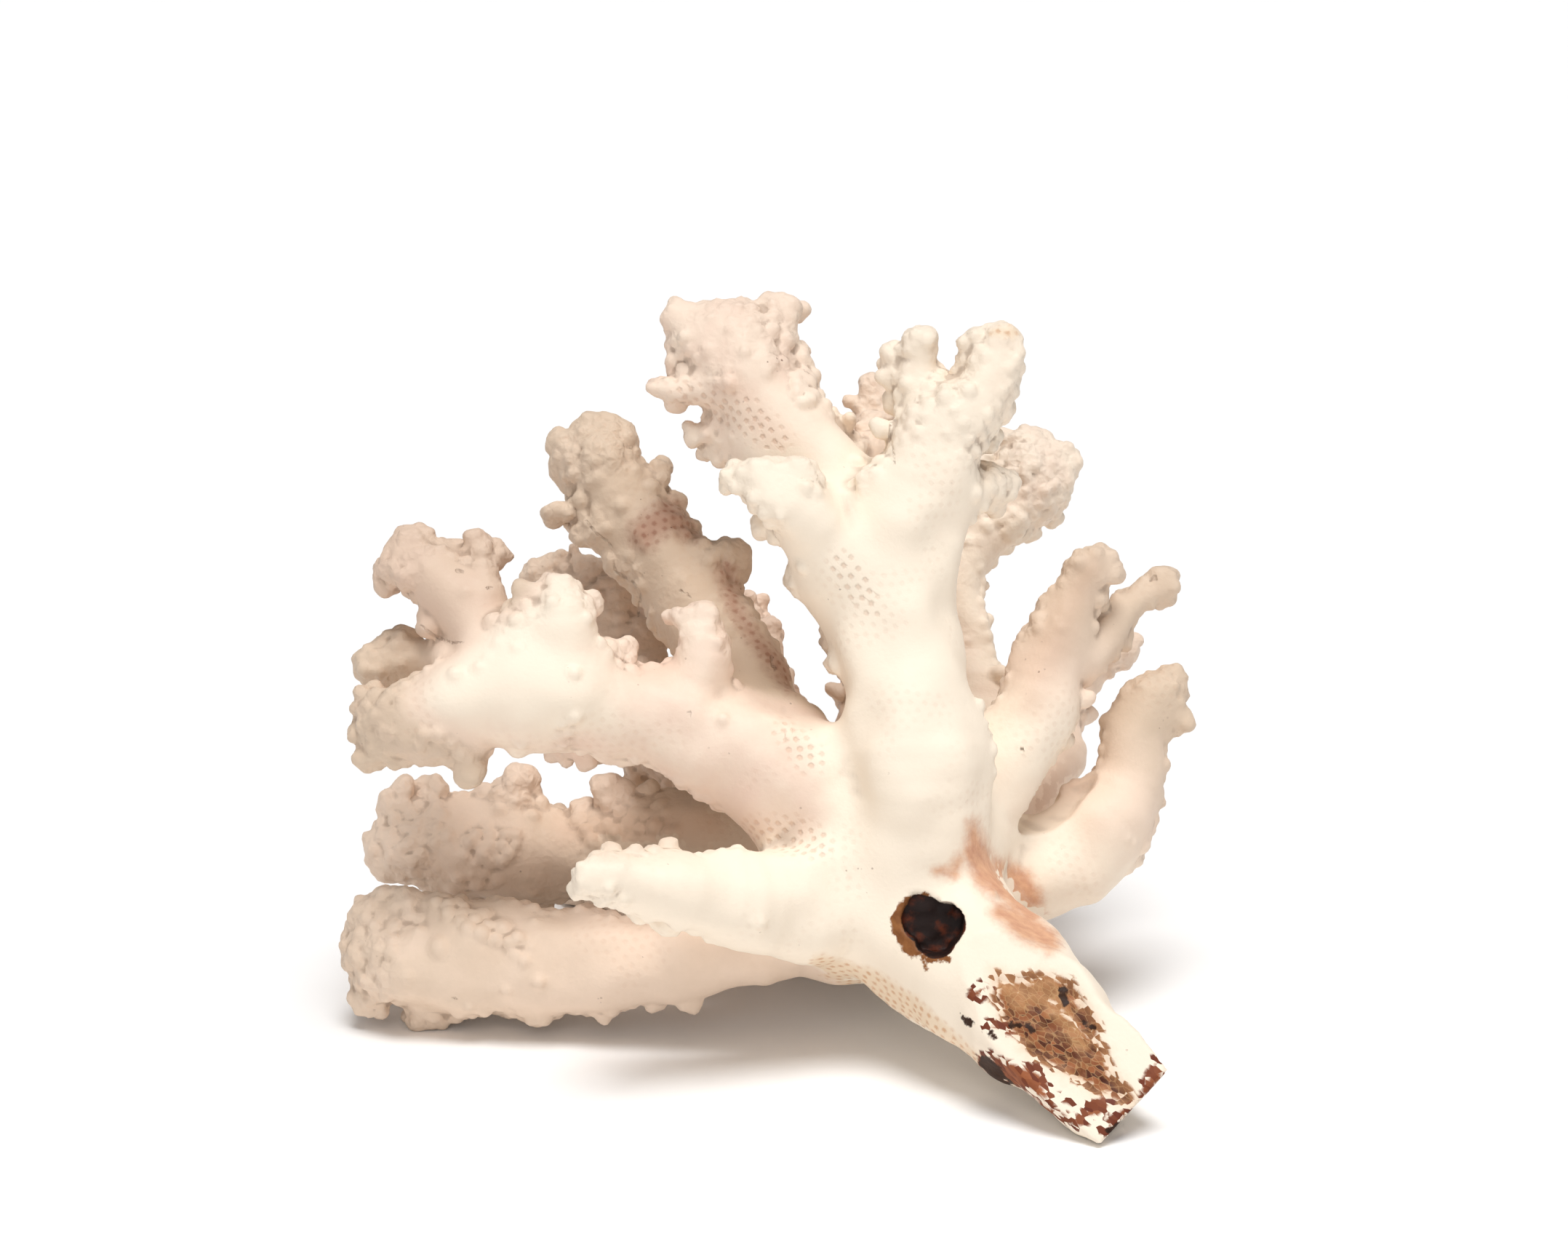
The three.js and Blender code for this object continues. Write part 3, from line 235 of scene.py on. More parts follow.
            (-6.4, 8.6, 1.6), (-4.9, 0.9, 1), (-2.2, -3, 1.6), (-1.3, -4.9, 1.3), (3.5, -11.4, 1.3),
            (4.2, -12.6, 1.1),
        ],
        lines=[
            [(-3, -13, -2, 7), (-7, -5, 4, 6.3), (-12.3, 3, 8, 6.4), (-16.8, 10.4, 11, 6.2),
             (-22, 17.8, 13, 6.3), (-26, 24.1, 13, 4.9)],
            [(-26, 24, 13, 4.5), (-26.6, 26.8, 13, 2.8)],
            [(-24.5, 24, 13, 4), (-22.8, 26, 13, 2.6)],
            [(-27, 22, 13, 4), (-30.2, 24.6, 13, 2.2)],
            [(-27, 20, 13, 4), (-30.8, 21.4, 13, 1.5)],
            [(-25, 17, 12, 4), (-29, 16.3, 11, 2.2), (-31.7, 16, 11, 1.4)],
            [(-19, 19, 12, 3), (-17, 21.3, 12, 2)],
            [(-10, 8, 9, 5), (-7, 9.3, 9, 2.9)],
            [(-8, 1, 7, 4), (-5.2, 1, 8, 1.8)],
            [(-5, -4, 4, 4), (-2, -3.8, 5, 2.4)],
            [(-3, -7, 3, 4), (-1.2, -6.2, 4, 1.9)],
            [(-22, 15, 12, 5), (-26.5, 13.2, 11, 3), (-28.2, 12.6, 11, 2)],
            [(-18.5, 8, 9.5, 4.6), (-22.6, 8.2, 9.5, 2.4)],
        ],
    ),
    dict(
        name="left_fan", on="hub", part=18, bare=10, knobbly=0.5, tone=(0.7, 0.85), blush=0.6,
        lobes=[
            (-34.3, 7.7, 1.5), (-32.5, 8.4, 1.4), (-30.2, 9.3, 1.5), (-29.1, 10.9, 1.2), (-26.6, 8.6, 1.7),
            (-24.4, 8.4, 1.5),
        ],
        lines=[
            [(-10, -16, -2, 6), (-18, -11, 12, 5.6), (-23.5, -3.5, 22.5, 4.8), (-28.5, 3.8, 26, 4.2),
             (-32.5, 6.8, 26.5, 2.6)],
            [(-27, 1, 25, 4), (-27, 6.5, 25.5, 3.2)],
            [(-22, -5, 21, 4.2), (-22, 0, 23.5, 4.2), (-22.8, 4.5, 24.5, 3.8)],
            [(-20, -7, 17, 4.2), (-18.6, -1.5, 20, 3.6)],
        ],
    ),
    dict(
        name="front_finger", on="hub", part=17, bare=17, knobbly=0, tone=(0, 0), blush=0,
        lobes=[
            (-20.5, -31, 1.5), (-14, -31.9, 1.5), (-9, -32.9, 1.5),
        ],
        lines=[
            [(10, -37, -10, 10), (2, -38, -15, 8), (-7, -37.5, -20, 6.8), (-16, -35.8, -24, 5.6),
             (-23, -34.6, -27, 4.3), (-27.2, -33.9, -29, 2.7)],
        ],
    ),
    dict(
        name="lower_left_upper", on="hub", part=22, bare=20, knobbly=0.35, tone=(1, 0.55), blush=0,
        lobes=[
            (-48.1, -21.8, 1.8), (-52, -22.2, 1.4), (-54.3, -24.4, 1.6), (-54.1, -27.3, 1.2),
            (-55.9, -29.6, 1.3), (-55.4, -33.1, 1.4), (-41.2, -23.6, 1.4), (-37, -20.2, 1.5),
            (-35.2, -20.6, 1.5), (-28.2, -24.8, 1.5), (-24.2, -22.4, 1.8), (-21.6, -22.6, 1.6),
            (-18.6, -22.2, 1.3),
        ],
        lines=[
            [(6, -31, 2, 8), (-6, -29, 12, 6.5), (-17, -28.6, 18, 6.2), (-28, -31.4, 20, 6.2),
             (-38, -30.6, 20, 7.8), (-46, -30.2, 19, 7.6), (-51.5, -30.2, 18, 5.6)],
            [(-40, -28, 19, 5), (-36.8, -22.5, 19, 3), (-36.3, -21.3, 19, 2.6)],
            [(-48, -28, 18, 4.5), (-48.6, -23, 18, 2.4)],
            [(-50, -28, 17, 4.5), (-52.8, -25, 17, 3)],
            [(-51, -30, 17, 4), (-55, -30, 17, 2.3)],
            [(-51, -32, 17, 4), (-54.5, -33, 17, 2)],
            [(-26, -29, 20, 4), (-27.6, -25.4, 20, 2.1)],
            [(-20, -27, 19, 4.5), (-23, -23.4, 18, 2.6)],
        ],
    ),
    dict(
        name="lower_left_lower", on="hub", part=19, bare=19, knobbly=0.12, tone=(0.6, 0.75), blush=0.3,
        lobes=[
            (-54.7, -36.6, 1.3), (-57.3, -39, 1.4), (-58.9, -41.1, 1.5), (-59.7, -43.6, 1.5),
            (-58.9, -44.9, 1.3), (-57.4, -46.9, 1.5), (-57, -49.6, 1.3), (-58.5, -51.4, 1.5),
            (-57.7, -52.3, 1.4), (-55.2, -52.9, 1.5), (-50.4, -54.2, 1.8), (-48, -53.6, 1.5),
            (-45, -53.4, 1.5), (-33.6, -53.2, 1.5), (-31, -53.1, 1.3), (-25, -53.1, 1.5),
            (-18.2, -51.9, 1.4), (-12.8, -51.2, 1.2),
        ],
        lines=[
            [(6, -40, -4, 8), (-6, -43, -5, 6), (-17, -45.5, -4, 6.6), (-29, -46.1, -2, 7.7),
             (-40, -45.6, 0, 8.5), (-49, -45.5, 1, 8.2), (-55, -44.5, 1, 5.6)],
            [(-49, -50, 1, 4), (-50, -53.4, 1.5, 2.6)],
            [(-54, -47, 1, 4.5), (-57.6, -51.3, 1, 2.4)],
            [(-54, -44, 1, 5), (-58.5, -44, 1, 2.8)],
            [(-53, -41, 1, 4.5), (-57, -40.3, 1, 2.8)],
            [(-50, -40, 1, 4), (-54.5, -37.6, 1, 2)],
            [(-44, -43, -1, 5), (-47, -40.4, -2, 2.2)],
            [(-33, -50, -2, 4), (-34, -52.8, -2, 2)],
        ],
    ),
    dict(
        name="right_arm", on="hub", part=17, bare=16, knobbly=0.05, tone=(0.05, 0.85), blush=0.3,
        lobes=[
            (43.4, 10.4, 1.7), (44.2, 9.9, 1.2), (44.6, 7.6, 1.5), (39.9, 8.1, 1.4), (41.4, 9.5, 1.1),
            (36.2, 2.5, 1.2), (35.6, 1.3, 1.2), (33.3, -2.9, 1.4), (32.7, -4.8, 1.3), (52, 6.2, 2.3),
            (52.4, 4.9, 1.6), (49, 5.5, 1.7), (43.9, 3.8, 1.2), (43, 0.6, 1.3), (42.4, -2.8, 1.4),
            (42.2, -6.2, 1.5), (42, -9.6, 1.5),
        ],
        lines=[
            [(20, -30, 0, 10), (26.5, -25, -2, 7), (30.5, -18, -2, 6.4), (34.5, -11.5, -1, 6.4),
             (37.2, -4, 0, 5.2), (39.9, 3, 0, 4), (42.6, 9, 0, 2.9)],
            [(36, -1, 0, 3.4), (33.6, -2.9, 0, 1.8)],
            [(38, 2, 0, 3.2), (36.4, 2, 0, 1.9)],
            [(41, -5, 2, 3.5), (44.5, 0, 5, 3.2), (48, 3.6, 7, 2.9), (51.4, 5.7, 8, 2.6)],
        ],
    ),
    dict(
        name="right_lower_arm", on="hub", part=17, bare=20, knobbly=0, tone=(0.2, 0.95), blush=0.2,
        lobes=[
            (53.9, -6.1, 1.5), (52, -6.5, 1.4), (54, -8.4, 1.3), (53.8, -12.7, 1.7), (49.6, -8.3, 1.4),
            (47.9, -10.8, 1.3), (45.9, -12.9, 1.5), (50.3, -23.9, 2.1),
        ],
        lines=[
            [(22, -33, 2, 9), (31, -34, 3, 7), (38, -32, 4, 7.5), (44, -27, 5, 7.4), (47.3, -21, 6, 5.2),
             (48.6, -14, 7, 4.7), (50.8, -9.5, 7, 4.2), (53, -7, 7, 2.6)],
            [(48, -25, 6, 4), (50.3, -24, 6, 2.2)],
            [(50.5, -13, 7, 3.5), (53.2, -12.8, 7, 2.5)],
        ],
    ),
    dict(
        name="right_rear_arm", on="hub", part=20, bare=24, knobbly=0.4, tone=(0.5, 0.5), blush=0.3,
        lobes=[
            (48, -1.7, 1.3),
        ],
        lines=[
            [(24, -29, 14, 8), (32, -25, 22, 6.4), (37, -18, 27, 4.5), (38.8, -11.2, 28, 2.8),
             (42.6, -5.6, 29, 2.8), (46.2, -2.9, 29, 3)],
        ],
    ),
    dict(
        name="right_rear_tower", on="hub", part=16, bare=12, knobbly=0.35, tone=(0.05, 0.1), blush=0.5,
        lines=[
            [(24, -22, 12, 8), (27, -12, 17, 5.6), (25.3, -3, 20, 4), (23.7, 4, 22, 3.6), (26, 11, 24, 4.6),
             (31, 17.5, 26, 6), (34.5, 20.5, 26, 5.6)],
            [(32, 21, 26, 4), (32.8, 25.6, 26, 2.4)],
            [(35, 20.5, 26, 5), (38.6, 22.3, 26, 3)],
        ],
    ),
    dict(
        name="rear_spray", on="hub", part=18, bare=16, knobbly=0.4, tone=(0.4, 0.4), blush=0.6,
        lobes=[
            (-1.7, 0.2, 1.4), (0.3, -6.4, 1.3), (-5, 4, 1.5),
        ],
        lines=[
            [(8, -25, 12, 7), (2, -16.5, 22, 5.2), (-2.2, -9, 27, 3.9), (-3.8, -2.8, 31, 3.2),
             (-5.2, 2, 33, 2.6)],
            [(-2.4, -4, 29, 3), (-1.7, -1, 30, 2)],
        ],
    ),
    dict(
        name="rear_left_arm", on="hub", part=17, bare=12, knobbly=0.4, tone=(0.5, 0.6), blush=0.3,
        lines=[
            [(4, -26, 18, 7), (-8, -20, 31, 5.8), (-18, -16, 38, 5.4), (-27, -12, 43, 4.2),
             (-32, -9, 46, 2.8)],
            [(-16, -17, 37, 4), (-19, -9, 46, 3.6), (-22, -4, 51, 2.6)],
        ],
    ),
    dict(
        name="rear_left_foot", on="hub", part=18, bare=16, knobbly=0.3, tone=(0.4, 0.7), blush=0.2,
        lines=[
            [(6, -35, 12, 9), (-3, -36, 26, 7), (-13, -36.2, 37, 6), (-22, -35.6, 44, 4.6),
             (-28, -35.5, 48, 3.4)],
        ],
    ),
    dict(
        name="rear_foot", on="hub", part=22, bare=14, knobbly=0.3, tone=(0.3, 0.6), blush=0.2,
        lines=[
            [(14, -33, 6, 11), (14, -34, 20, 9), (14, -35, 32, 7), (13, -34.8, 43, 5.5),
             (12, -34.2, 50, 3.6)],
        ],
    ),
    dict(
        name="rear_tower", on="hub", part=17, bare=18, knobbly=0.4, tone=(0.4, 0.7), blush=0.3,
        lines=[
            [(15, -28, 14, 10), (15, -16, 27, 7.5), (13.5, -3, 35, 6.5), (12.5, 9, 40, 5.8),
             (11, 19, 43, 4.6), (10, 26, 44, 3)],
            [(14, 4, 37, 5), (18, 14, 47, 4.5), (20, 22, 50, 3)],
        ],
    ),
]


# Three places on the sawn face of the stem, the middle of its end, and the bore that a sponge left beside it.
SAWN_FACE = [(22, -43, -25.3), (48, -66, -34.5), (46, -48, -28.5)]
STEM_END = (48.5, -65.5, -34)
# The bore as overlapping rounds of (across, up, radius), and how far back its mouth and its end lie.
BORE = [(18.6, -38.3, 1.3), (19.4, -40.2, 2.9), (21.9, -40.9, 2.7), (20.8, -42.6, 2.5)]
BORE_MOUTH = -29
BORE_END = -20
# The recess behind the root of the right arm, as beads.
HOLLOW = [(33.6, -26, -3, 2.6), (35.6, -23.6, -1, 4.6), (39.6, -20, 3, 3.6)]
SAWN_REACH = 20  # how far the sawn face reaches from its middle
END_REACH = 30  # the same for the cut end
CUT_DEPTH = 24  # how much is taken off beyond a cut


def magnify(back):
    """How much larger a thing is than it looks when it lies that far behind the middle of the view."""
    return 1 + back / VIEW_DISTANCE


def seen_at(across, up, back):
    """The place of a point that the eye sees at (across, up) and that lies that far back."""
    k = magnify(back)
    return MIDDLE + RIGHT * across * k + UP * up * k + AWAY * back


def as_seen(points):
    """(across, up, back) of each point: where the eye sees it, and how far back it lies."""
    offset = points - MIDDLE
    back = offset @ AWAY
    k = magnify(back)
    return (offset @ RIGHT) / k, (offset @ UP) / k, back


def chance(a, b):
    """A number from 0 to 1 that looks random and is the same every time."""
    x = np.sin(a * 12.9898 + b * 78.233) * 43758.5453
    return x - np.floor(x)


def ease(low, high, x):
    """0 below low, 1 above high, and a smooth rise between them."""
    t = np.clip((x - low) / (high - low), 0, 1)
    return t * t * (3 - 2 * t)


def unit(v):
    return v / np.linalg.norm(v)


def curve_point(rows, t):
    """A point of the smooth curve through the rows: a centripetal Catmull-Rom curve."""
    last = len(rows) - 1
    k = min(int(t * last), last - 1)
    share = t * last - k
    before = rows[k - 1] if k else 2 * rows[0] - rows[1]
    after = rows[k + 2] if k + 2 <= last else 2 * rows[last] - rows[last - 1]
    p = [before, rows[k], rows[k + 1], after]
    d = [math.sqrt(np.linalg.norm(b - a)) for a, b in zip(p, p[1:])]
    leave = ((p[1] - p[0]) / d[0] - (p[2] - p[0]) / (d[0] + d[1]) + (p[2] - p[1]) / d[1]) * d[1]
    arrive = ((p[2] - p[1]) / d[1] - (p[3] - p[1]) / (d[1] + d[2]) + (p[3] - p[2]) / d[2]) * d[1]
    c2 = 3 * (p[2] - p[1]) - 2 * leave - arrive
    c3 = 2 * (p[1] - p[2]) + leave + arrive
    return p[1] + share * (leave + share * (c2 + share * c3))


def beads_of(rows):
    """A line of the table as close beads: (places, radii, distances along it)."""
    places = np.array([seen_at(*row[:3]) for row in rows])
    radii = np.array([row[3] * magnify(row[2]) for row in rows])
    fine = np.array([curve_point(places, i / 200) for i in range(201)])
    length = np.linalg.norm(np.diff(fine, axis=0), axis=1).sum()
    steps = max(2, math.ceil(length / 2.5))
    shares = np.arange(steps + 1) / steps
    at = np.array([curve_point(places, t) for t in shares])
    along = np.concatenate([[0], np.cumsum(np.linalg.norm(np.diff(at, axis=0), axis=1))])
    return at, np.interp(shares * (len(rows) - 1), np.arange(len(rows)), radii), along


def thinned(radii, along, bare):
    """The radii without the layer of warts that begins past the bare stretch."""
    return radii - np.minimum(THIN, 0.2 * radii) * ease(bare - 3, bare + 5, along)


def lobes_of(lobes, lines):
    """The lobes of a branch's margin: each runs from the nearest bead out to the tip that the eye sees."""
    at = np.concatenate([places for places, _, _ in lines])
    radii = np.concatenate([radius for _, radius, _ in lines])
    across, up, back = as_seen(at)
    for x, y, radius in lobes:
        k = (np.hypot(across - x, up - y) - radii).argmin()
        size = radius * magnify(back[k])
        yield np.array([at[k], seen_at(x, y, back[k])]), np.array([min(size, radii[k]), size])


def knobs_of(beads, seed, bare, far_side):
    """The knobs of a line, two beads each: on both its edges, or on its far side if it has lobes."""
    at, radii, along = beads
    for i in itertools.count():
        if bare + i * KNOB_SPACING >= along[-1]:
            return
        k = int(np.searchsorted(along, bare + (i + 0.7 * chance(seed, i)) * KNOB_SPACING))
        k = min(k, len(along) - 1) or 1
        forward = unit(at[k] - at[k - 1])
        side = unit(np.cross(forward, AWAY))
        sway = chance(seed, i + 0.5)
        turn = math.pi * (0.15 + 0.7 * sway) if far_side else (i % 2) * math.pi + (sway - 0.35) * 1.5
        out = unit(side * math.cos(turn) + AWAY * math.sin(turn) + forward * 0.3)
        size = min(KNOB_RADIUS + KNOB_SPREAD * chance(seed, i + 0.25), 0.62 * radii[k])
        stand = radii[k] + size * (0.15 + 0.5 * chance(seed, i + 0.75))
        yield np.array([at[k] + out * radii[k] * 0.5, at[k] + out * stand]), np.array([size, size])


class Field:
    """The space round the coral as a grid of signed distances, below zero inside it."""

    def __init__(self, low, high):
        self.low = low
        self.count = np.ceil((high - low) / STEP).astype(int) + 1
        self.values = np.full(self.count, REACH, np.float32)
        self.nearest = np.full(self.count, FAR, np.float32)
        self.run = np.zeros(self.count, np.int16)

    def window(self, low, high):
        """The part of the grid in a box: its slices, and the coordinates of its points along each axis."""
        first = np.clip(np.ceil((low - self.low) / STEP).astype(int), 0, self.count - 1)
        last = np.clip(np.floor((high - self.low) / STEP).astype(int) + 1, first + 1, self.count)
        slices = tuple(slice(a, b) for a, b in zip(first, last))
        axes = [(self.low[d] + STEP * np.arange(first[d], last[d])).astype(np.float32) for d in range(3)]
        return slices, np.meshgrid(*axes, indexing="ij", sparse=True)

    def distances(self, places, radii, reach):
        """(slices, distances from the skin of a run of beads) in the box that the run reaches."""
        wide = radii.max() + reach
        whole, _ = self.window(places.min(0) - wide, places.max(0) + wide)
        shape = [s.stop - s.start for s in whole]
        least = np.full(shape, FAR, np.float32)
        for a, b, ra, rb in zip(places, places[1:], radii, radii[1:]):
            wide = max(ra, rb) + reach
            slices, grid = self.window(np.minimum(a, b) - wide, np.maximum(a, b) + wide)
            inner = tuple(slice(s.start - w.start, s.stop - w.start) for s, w in zip(slices, whole))
            offset = [g - np.float32(c) for g, c in zip(grid, a)]
            step = (b - a).astype(np.float32)
            t = np.clip(sum(o * s for o, s in zip(offset, step)) / (step @ step), 0, 1)
            square = sum((o - s * t) ** 2 for o, s in zip(offset, step))
            distance = np.sqrt(square) - (ra + (rb - ra) * t)
            np.minimum(least[inner], distance, out=least[inner])
        return whole, least

    def grow(self, places, radii, blend, reach=REACH):
        """Grows a run of beads onto what is there, blended over a width."""
        slices, distance = self.distances(places, radii, reach)
        old = self.values[slices]
        overlap = np.maximum(blend - np.abs(old - distance), 0) / blend
        np.minimum(old, distance, out=old)
        old -= overlap * overlap * np.float32(blend / 4)

    def claim(self, slices, distance, run):
        """Gives the points that are nearer to a run than to any before it to that run."""
        nearer = distance < self.nearest[slices]
        self.nearest[slices][nearer] = distance[nearer]
        self.run[slices][nearer] = run

    def cut(self, at, direction, radius, depth):
        """Takes a disc away: it lies across the direction, with its middle at a point."""
        direction = unit(direction)
        wide = math.hypot(radius, depth / 2) + 2
        slices, grid = self.window(at - wide, at + wide)
        offset = [g - np.float32(c) for g, c in zip(grid, at)]
        high = sum(o * d for o, d in zip(offset, direction))
        flat = np.sqrt(np.maximum(sum(o * o for o in offset) - high * high, 0))
        disc = np.maximum(np.abs(high) - depth / 2, flat - radius)
        np.maximum(self.values[slices], -disc.astype(np.float32), out=self.values[slices])

    def sample(self, points):
        """The distance at any points, blended from the grid points round each."""
        place = np.clip((points - self.low) / STEP, 0, np.array(self.count) - 1.001)
        base = place.astype(int)
        share = place - base
        total = np.zeros(len(points))
        for corner in itertools.product((0, 1), repeat=3):
            weight = np.prod(np.where(corner, share, 1 - share), axis=1)
            total += weight * self.values[tuple((base + corner).T)]
        return total

    def slope(self, points):
        """The direction in which the distance grows at each point."""
        steps = np.eye(3) * STEP * 0.6
        return np.stack([self.sample(points + s) - self.sample(points - s) for s in steps], 1) / (1.2 * STEP)

    def at_nearest(self, points, grid):
        """What a grid of the same size holds nearest to each point."""
        place = np.clip(np.rint((points - self.low) / STEP).astype(int), 0, np.array(self.count) - 1)
        return grid[tuple(place.T)]


def swell(x, y, z):
    """Slow waves over the surface, so that no branch is a plain tube."""
    waves = np.sin(0.61 * x + 1.3 * np.sin(0.37 * y)) + np.sin(0.67 * y + 1.1 * np.sin(0.41 * z))
    return SWELL * (waves + np.sin(0.57 * z + 1.2 * np.sin(0.43 * x))) / 1.5


def lattice_noise(points, size, seed):
    """Smooth noise from -1 to 1 with lumps of about that size."""
    place = points / size + seed * 17.3
    base = np.floor(place)
    share = place - base
    share = share * share * (3 - 2 * share)
    total = np.zeros(len(points))
    for corner in itertools.product((0, 1), repeat=3):
        weight = np.prod(np.where(corner, share, 1 - share), axis=1)
        cell = base + corner
        total += weight * chance(cell[:, 0] + 3.1 * cell[:, 1], cell[:, 2] * 1.7 + seed)
    return total * 2 - 1


# The pieces, in the order of their labels. Three of them stand for one solid of the CAD model, the trunk.
PIECES = ["hub"] + [branch["name"] for branch in BRANCHES if "part" in branch]
TRUNK_PIECES = ("hub", "stem", "left_fan")


def grow_branches(field):
    """Grows every branch into the field.

    Returns its runs. Each is (label of its piece, branch, line, places of its beads, how far along the line
    they are, length of the line, share of the axis where the line starts)."""
    runs = [None]
    grown = [[beads_of(rows) for rows in branch["lines"]] for branch in BRANCHES]
    order = [(b, 0) for b in range(len(BRANCHES))]
    order += [(b, n) for b, branch in enumerate(BRANCHES) for n in range(1, len(branch["lines"]))]
    for b, n in order:
        branch = BRANCHES[b]
        places, radii, along = grown[b][n]
        radii = thinned(radii, along, EVERYWHERE if n else branch["bare"])
        field.grow(places, radii, TWIG_BLEND if n else FORK_BLEND)
        carrier = PIECES.index(branch["on"]) + 1
        own = PIECES.index(branch["name"]) + 1 if "part" in branch else carrier
        part = branch.get("part", 0)
        axis_places, _, axis_along = grown[b][0]
        if n:
            root = axis_along[np.linalg.norm(axis_places - places[0], axis=1).argmin()]
            stretches = [(own if root >= part else carrier, 0, len(places))]
            root /= axis_along[-1]
        else:
            root = 0
            k = int(np.searchsorted(along, part))
            stretches = [(own, k, len(places))] + ([(carrier, 0, k + 1)] if k else [])
        for label, first, last in stretches:
            slices, distance = field.distances(places[first:last], radii[first:last], REACH)
            field.claim(slices, distance, len(runs))
            runs.append((label, b, n, places[first:last], along[first:last], along[-1], root))
    for b, branch in enumerate(BRANCHES):
        lobes = branch.get("lobes", [])
        for places, radii in lobes_of(lobes, grown[b]):
            field.grow(places, radii + 0.2, LOBE_BLEND, reach=2.5)
        for n, beads in enumerate(grown[b]):
            for places, radii in knobs_of(beads, b * 31 + n * 7, 1.5 if n else branch["bare"], bool(lobes)):
                field.grow(places, radii, LOBE_BLEND, reach=2.5)
    return runs


def sawn_plane():
    """The middle of the sawn face and the direction that it faces."""
    low, high, side = (seen_at(*place) for place in SAWN_FACE)
    return (low + high) / 2, unit(np.cross(high - low, side - low))


def sawn_distance(points):
    """How far each point lies from the plane that the stem was sawn in, or FAR away from the stem."""
    middle, sawn = sawn_plane()
    offset = points - middle
    height = offset @ sawn
    flat = np.linalg.norm(offset - np.outer(height, sawn), axis=1)
    return np.where(flat < SAWN_REACH, height, FAR)


def bore_distance(points):
    """How far each point lies outside the bore, in millimetres up to MARK_REACH."""
    across, up, back = as_seen(points)
    rounds = [np.hypot(across - x, up - y) - radius for x, y, radius in BORE]
    distance = np.minimum.reduce(rounds + [np.full(len(across), MARK_REACH)])
    return np.where(back < BORE_END + 2, distance, MARK_REACH)


def carve(field):
    """Cuts the sawn face of the stem, its end, the bore, the hollow and the worn spots under the coral."""
    middle, sawn = sawn_plane()
    field.cut(middle + sawn * CUT_DEPTH / 2, sawn, SAWN_REACH, CUT_DEPTH)
    end = unit(0.72 * RIGHT - 0.66 * UP - 0.2 * AWAY)
    field.cut(seen_at(*STEM_END) + end * CUT_DEPTH / 2, end, END_REACH, CUT_DEPTH)
    for across, up, radius in BORE:
        halfway = (BORE_MOUTH + BORE_END) / 2
        field.cut(seen_at(across, up, halfway), AWAY, radius, BORE_END - BORE_MOUTH)
    places, radii, _ = beads_of(HOLLOW)
    slices, distance = field.distances(places, radii, reach=2)
    np.maximum(field.values[slices], -distance, out=field.values[slices])
    below = slice(0, int(-field.low[2] / STEP) + 2)
    heights = (field.low[2] + STEP * np.arange(below.stop)).astype(np.float32)
    np.maximum(field.values[:, :, below], -heights, out=field.values[:, :, below])


def skin_of(values, labels, low, step):
    """The surface between the labels.

    Each grid cell that the surface crosses gets one point, and each grid edge one quad for each piece.
    Returns the points, the quads, the label of each quad's piece, whether the quad is an inner cap, and
    whether each point is on the skin."""
    n = np.array(labels.shape)
    corners = list(itertools.product((0, 1), repeat=3))
    views = [labels[i:n[0] - 1 + i, j:n[1] - 1 + j, k:n[2] - 1 + k] for i, j, k in corners]
    least = views[0].copy()
    most = views[0].copy()
    for v in views[1:]:
        np.minimum(least, v, out=least)
        np.maximum(most, v, out=most)
    active = least != most
    cells = np.argwhere(active)
    number = np.full(active.shape, -1, np.int32)
    number[active] = np.arange(len(cells))
    outer_sum = np.zeros((len(cells), 3))
    outer_count = np.zeros(len(cells))
    inner_sum = np.zeros((len(cells), 3))
    inner_count = np.zeros(len(cells))
    for a in corners:
        for axis in range(3):
            if a[axis]:
                continue
            b = np.array(a)
            b[axis] = 1
            ia, ib = tuple((cells + a).T), tuple((cells + b).T)
            la, lb = labels[ia], labels[ib]
            va, vb = values[ia].astype(float), values[ib].astype(float)
            skin = (la == 0) != (lb == 0)
            t = np.where(skin, np.clip(va / np.where(skin, va - vb, 1), 0.02, 0.98), 0.5)
            place = np.array(a, float)[None, :] + np.outer(t, np.eye(3)[axis])
            outer_sum += place * skin[:, None]
            outer_count += skin
            cap = (la != lb) & ~skin
            inner_sum += place * cap[:, None]
            inner_count += cap
    on_skin = outer_count > 0
    count = np.where(on_skin, outer_count, inner_count)
    middle = np.where(on_skin[:, None], outer_sum, inner_sum) / count[:, None]
    points = low + (cells + middle) * step
    quads, owner, cap = [], [], []
    for axis in range(3):
        u, v = (axis + 1) % 3, (axis + 2) % 3
        take = [slice(1, -1)] * 3
        take[axis] = slice(0, -1)
        lower = labels[tuple(take)]
        take[axis] = slice(1, None)
        upper = labels[tuple(take)]
        edges = np.argwhere(lower != upper)
        la, lb = lower[tuple(edges.T)], upper[tuple(edges.T)]
        edges[:, u] += 1
        edges[:, v] += 1
        ring = []
        for du, dv in ((-1, -1), (0, -1), (0, 0), (-1, 0)):
            cell = edges.copy()
            cell[:, u] += du
            cell[:, v] += dv
            ring.append(number[tuple(cell.T)])
        ring = np.stack(ring, 1)
        both = (la > 0) & (lb > 0)
        for label, loop in ((la, ring), (lb, ring[:, ::-1])):
            mine = label > 0
            quads.append(loop[mine])
            owner.append(label[mine])
            cap.append(both[mine])
    return points, np.concatenate(quads), np.concatenate(owner), np.concatenate(cap), on_skin


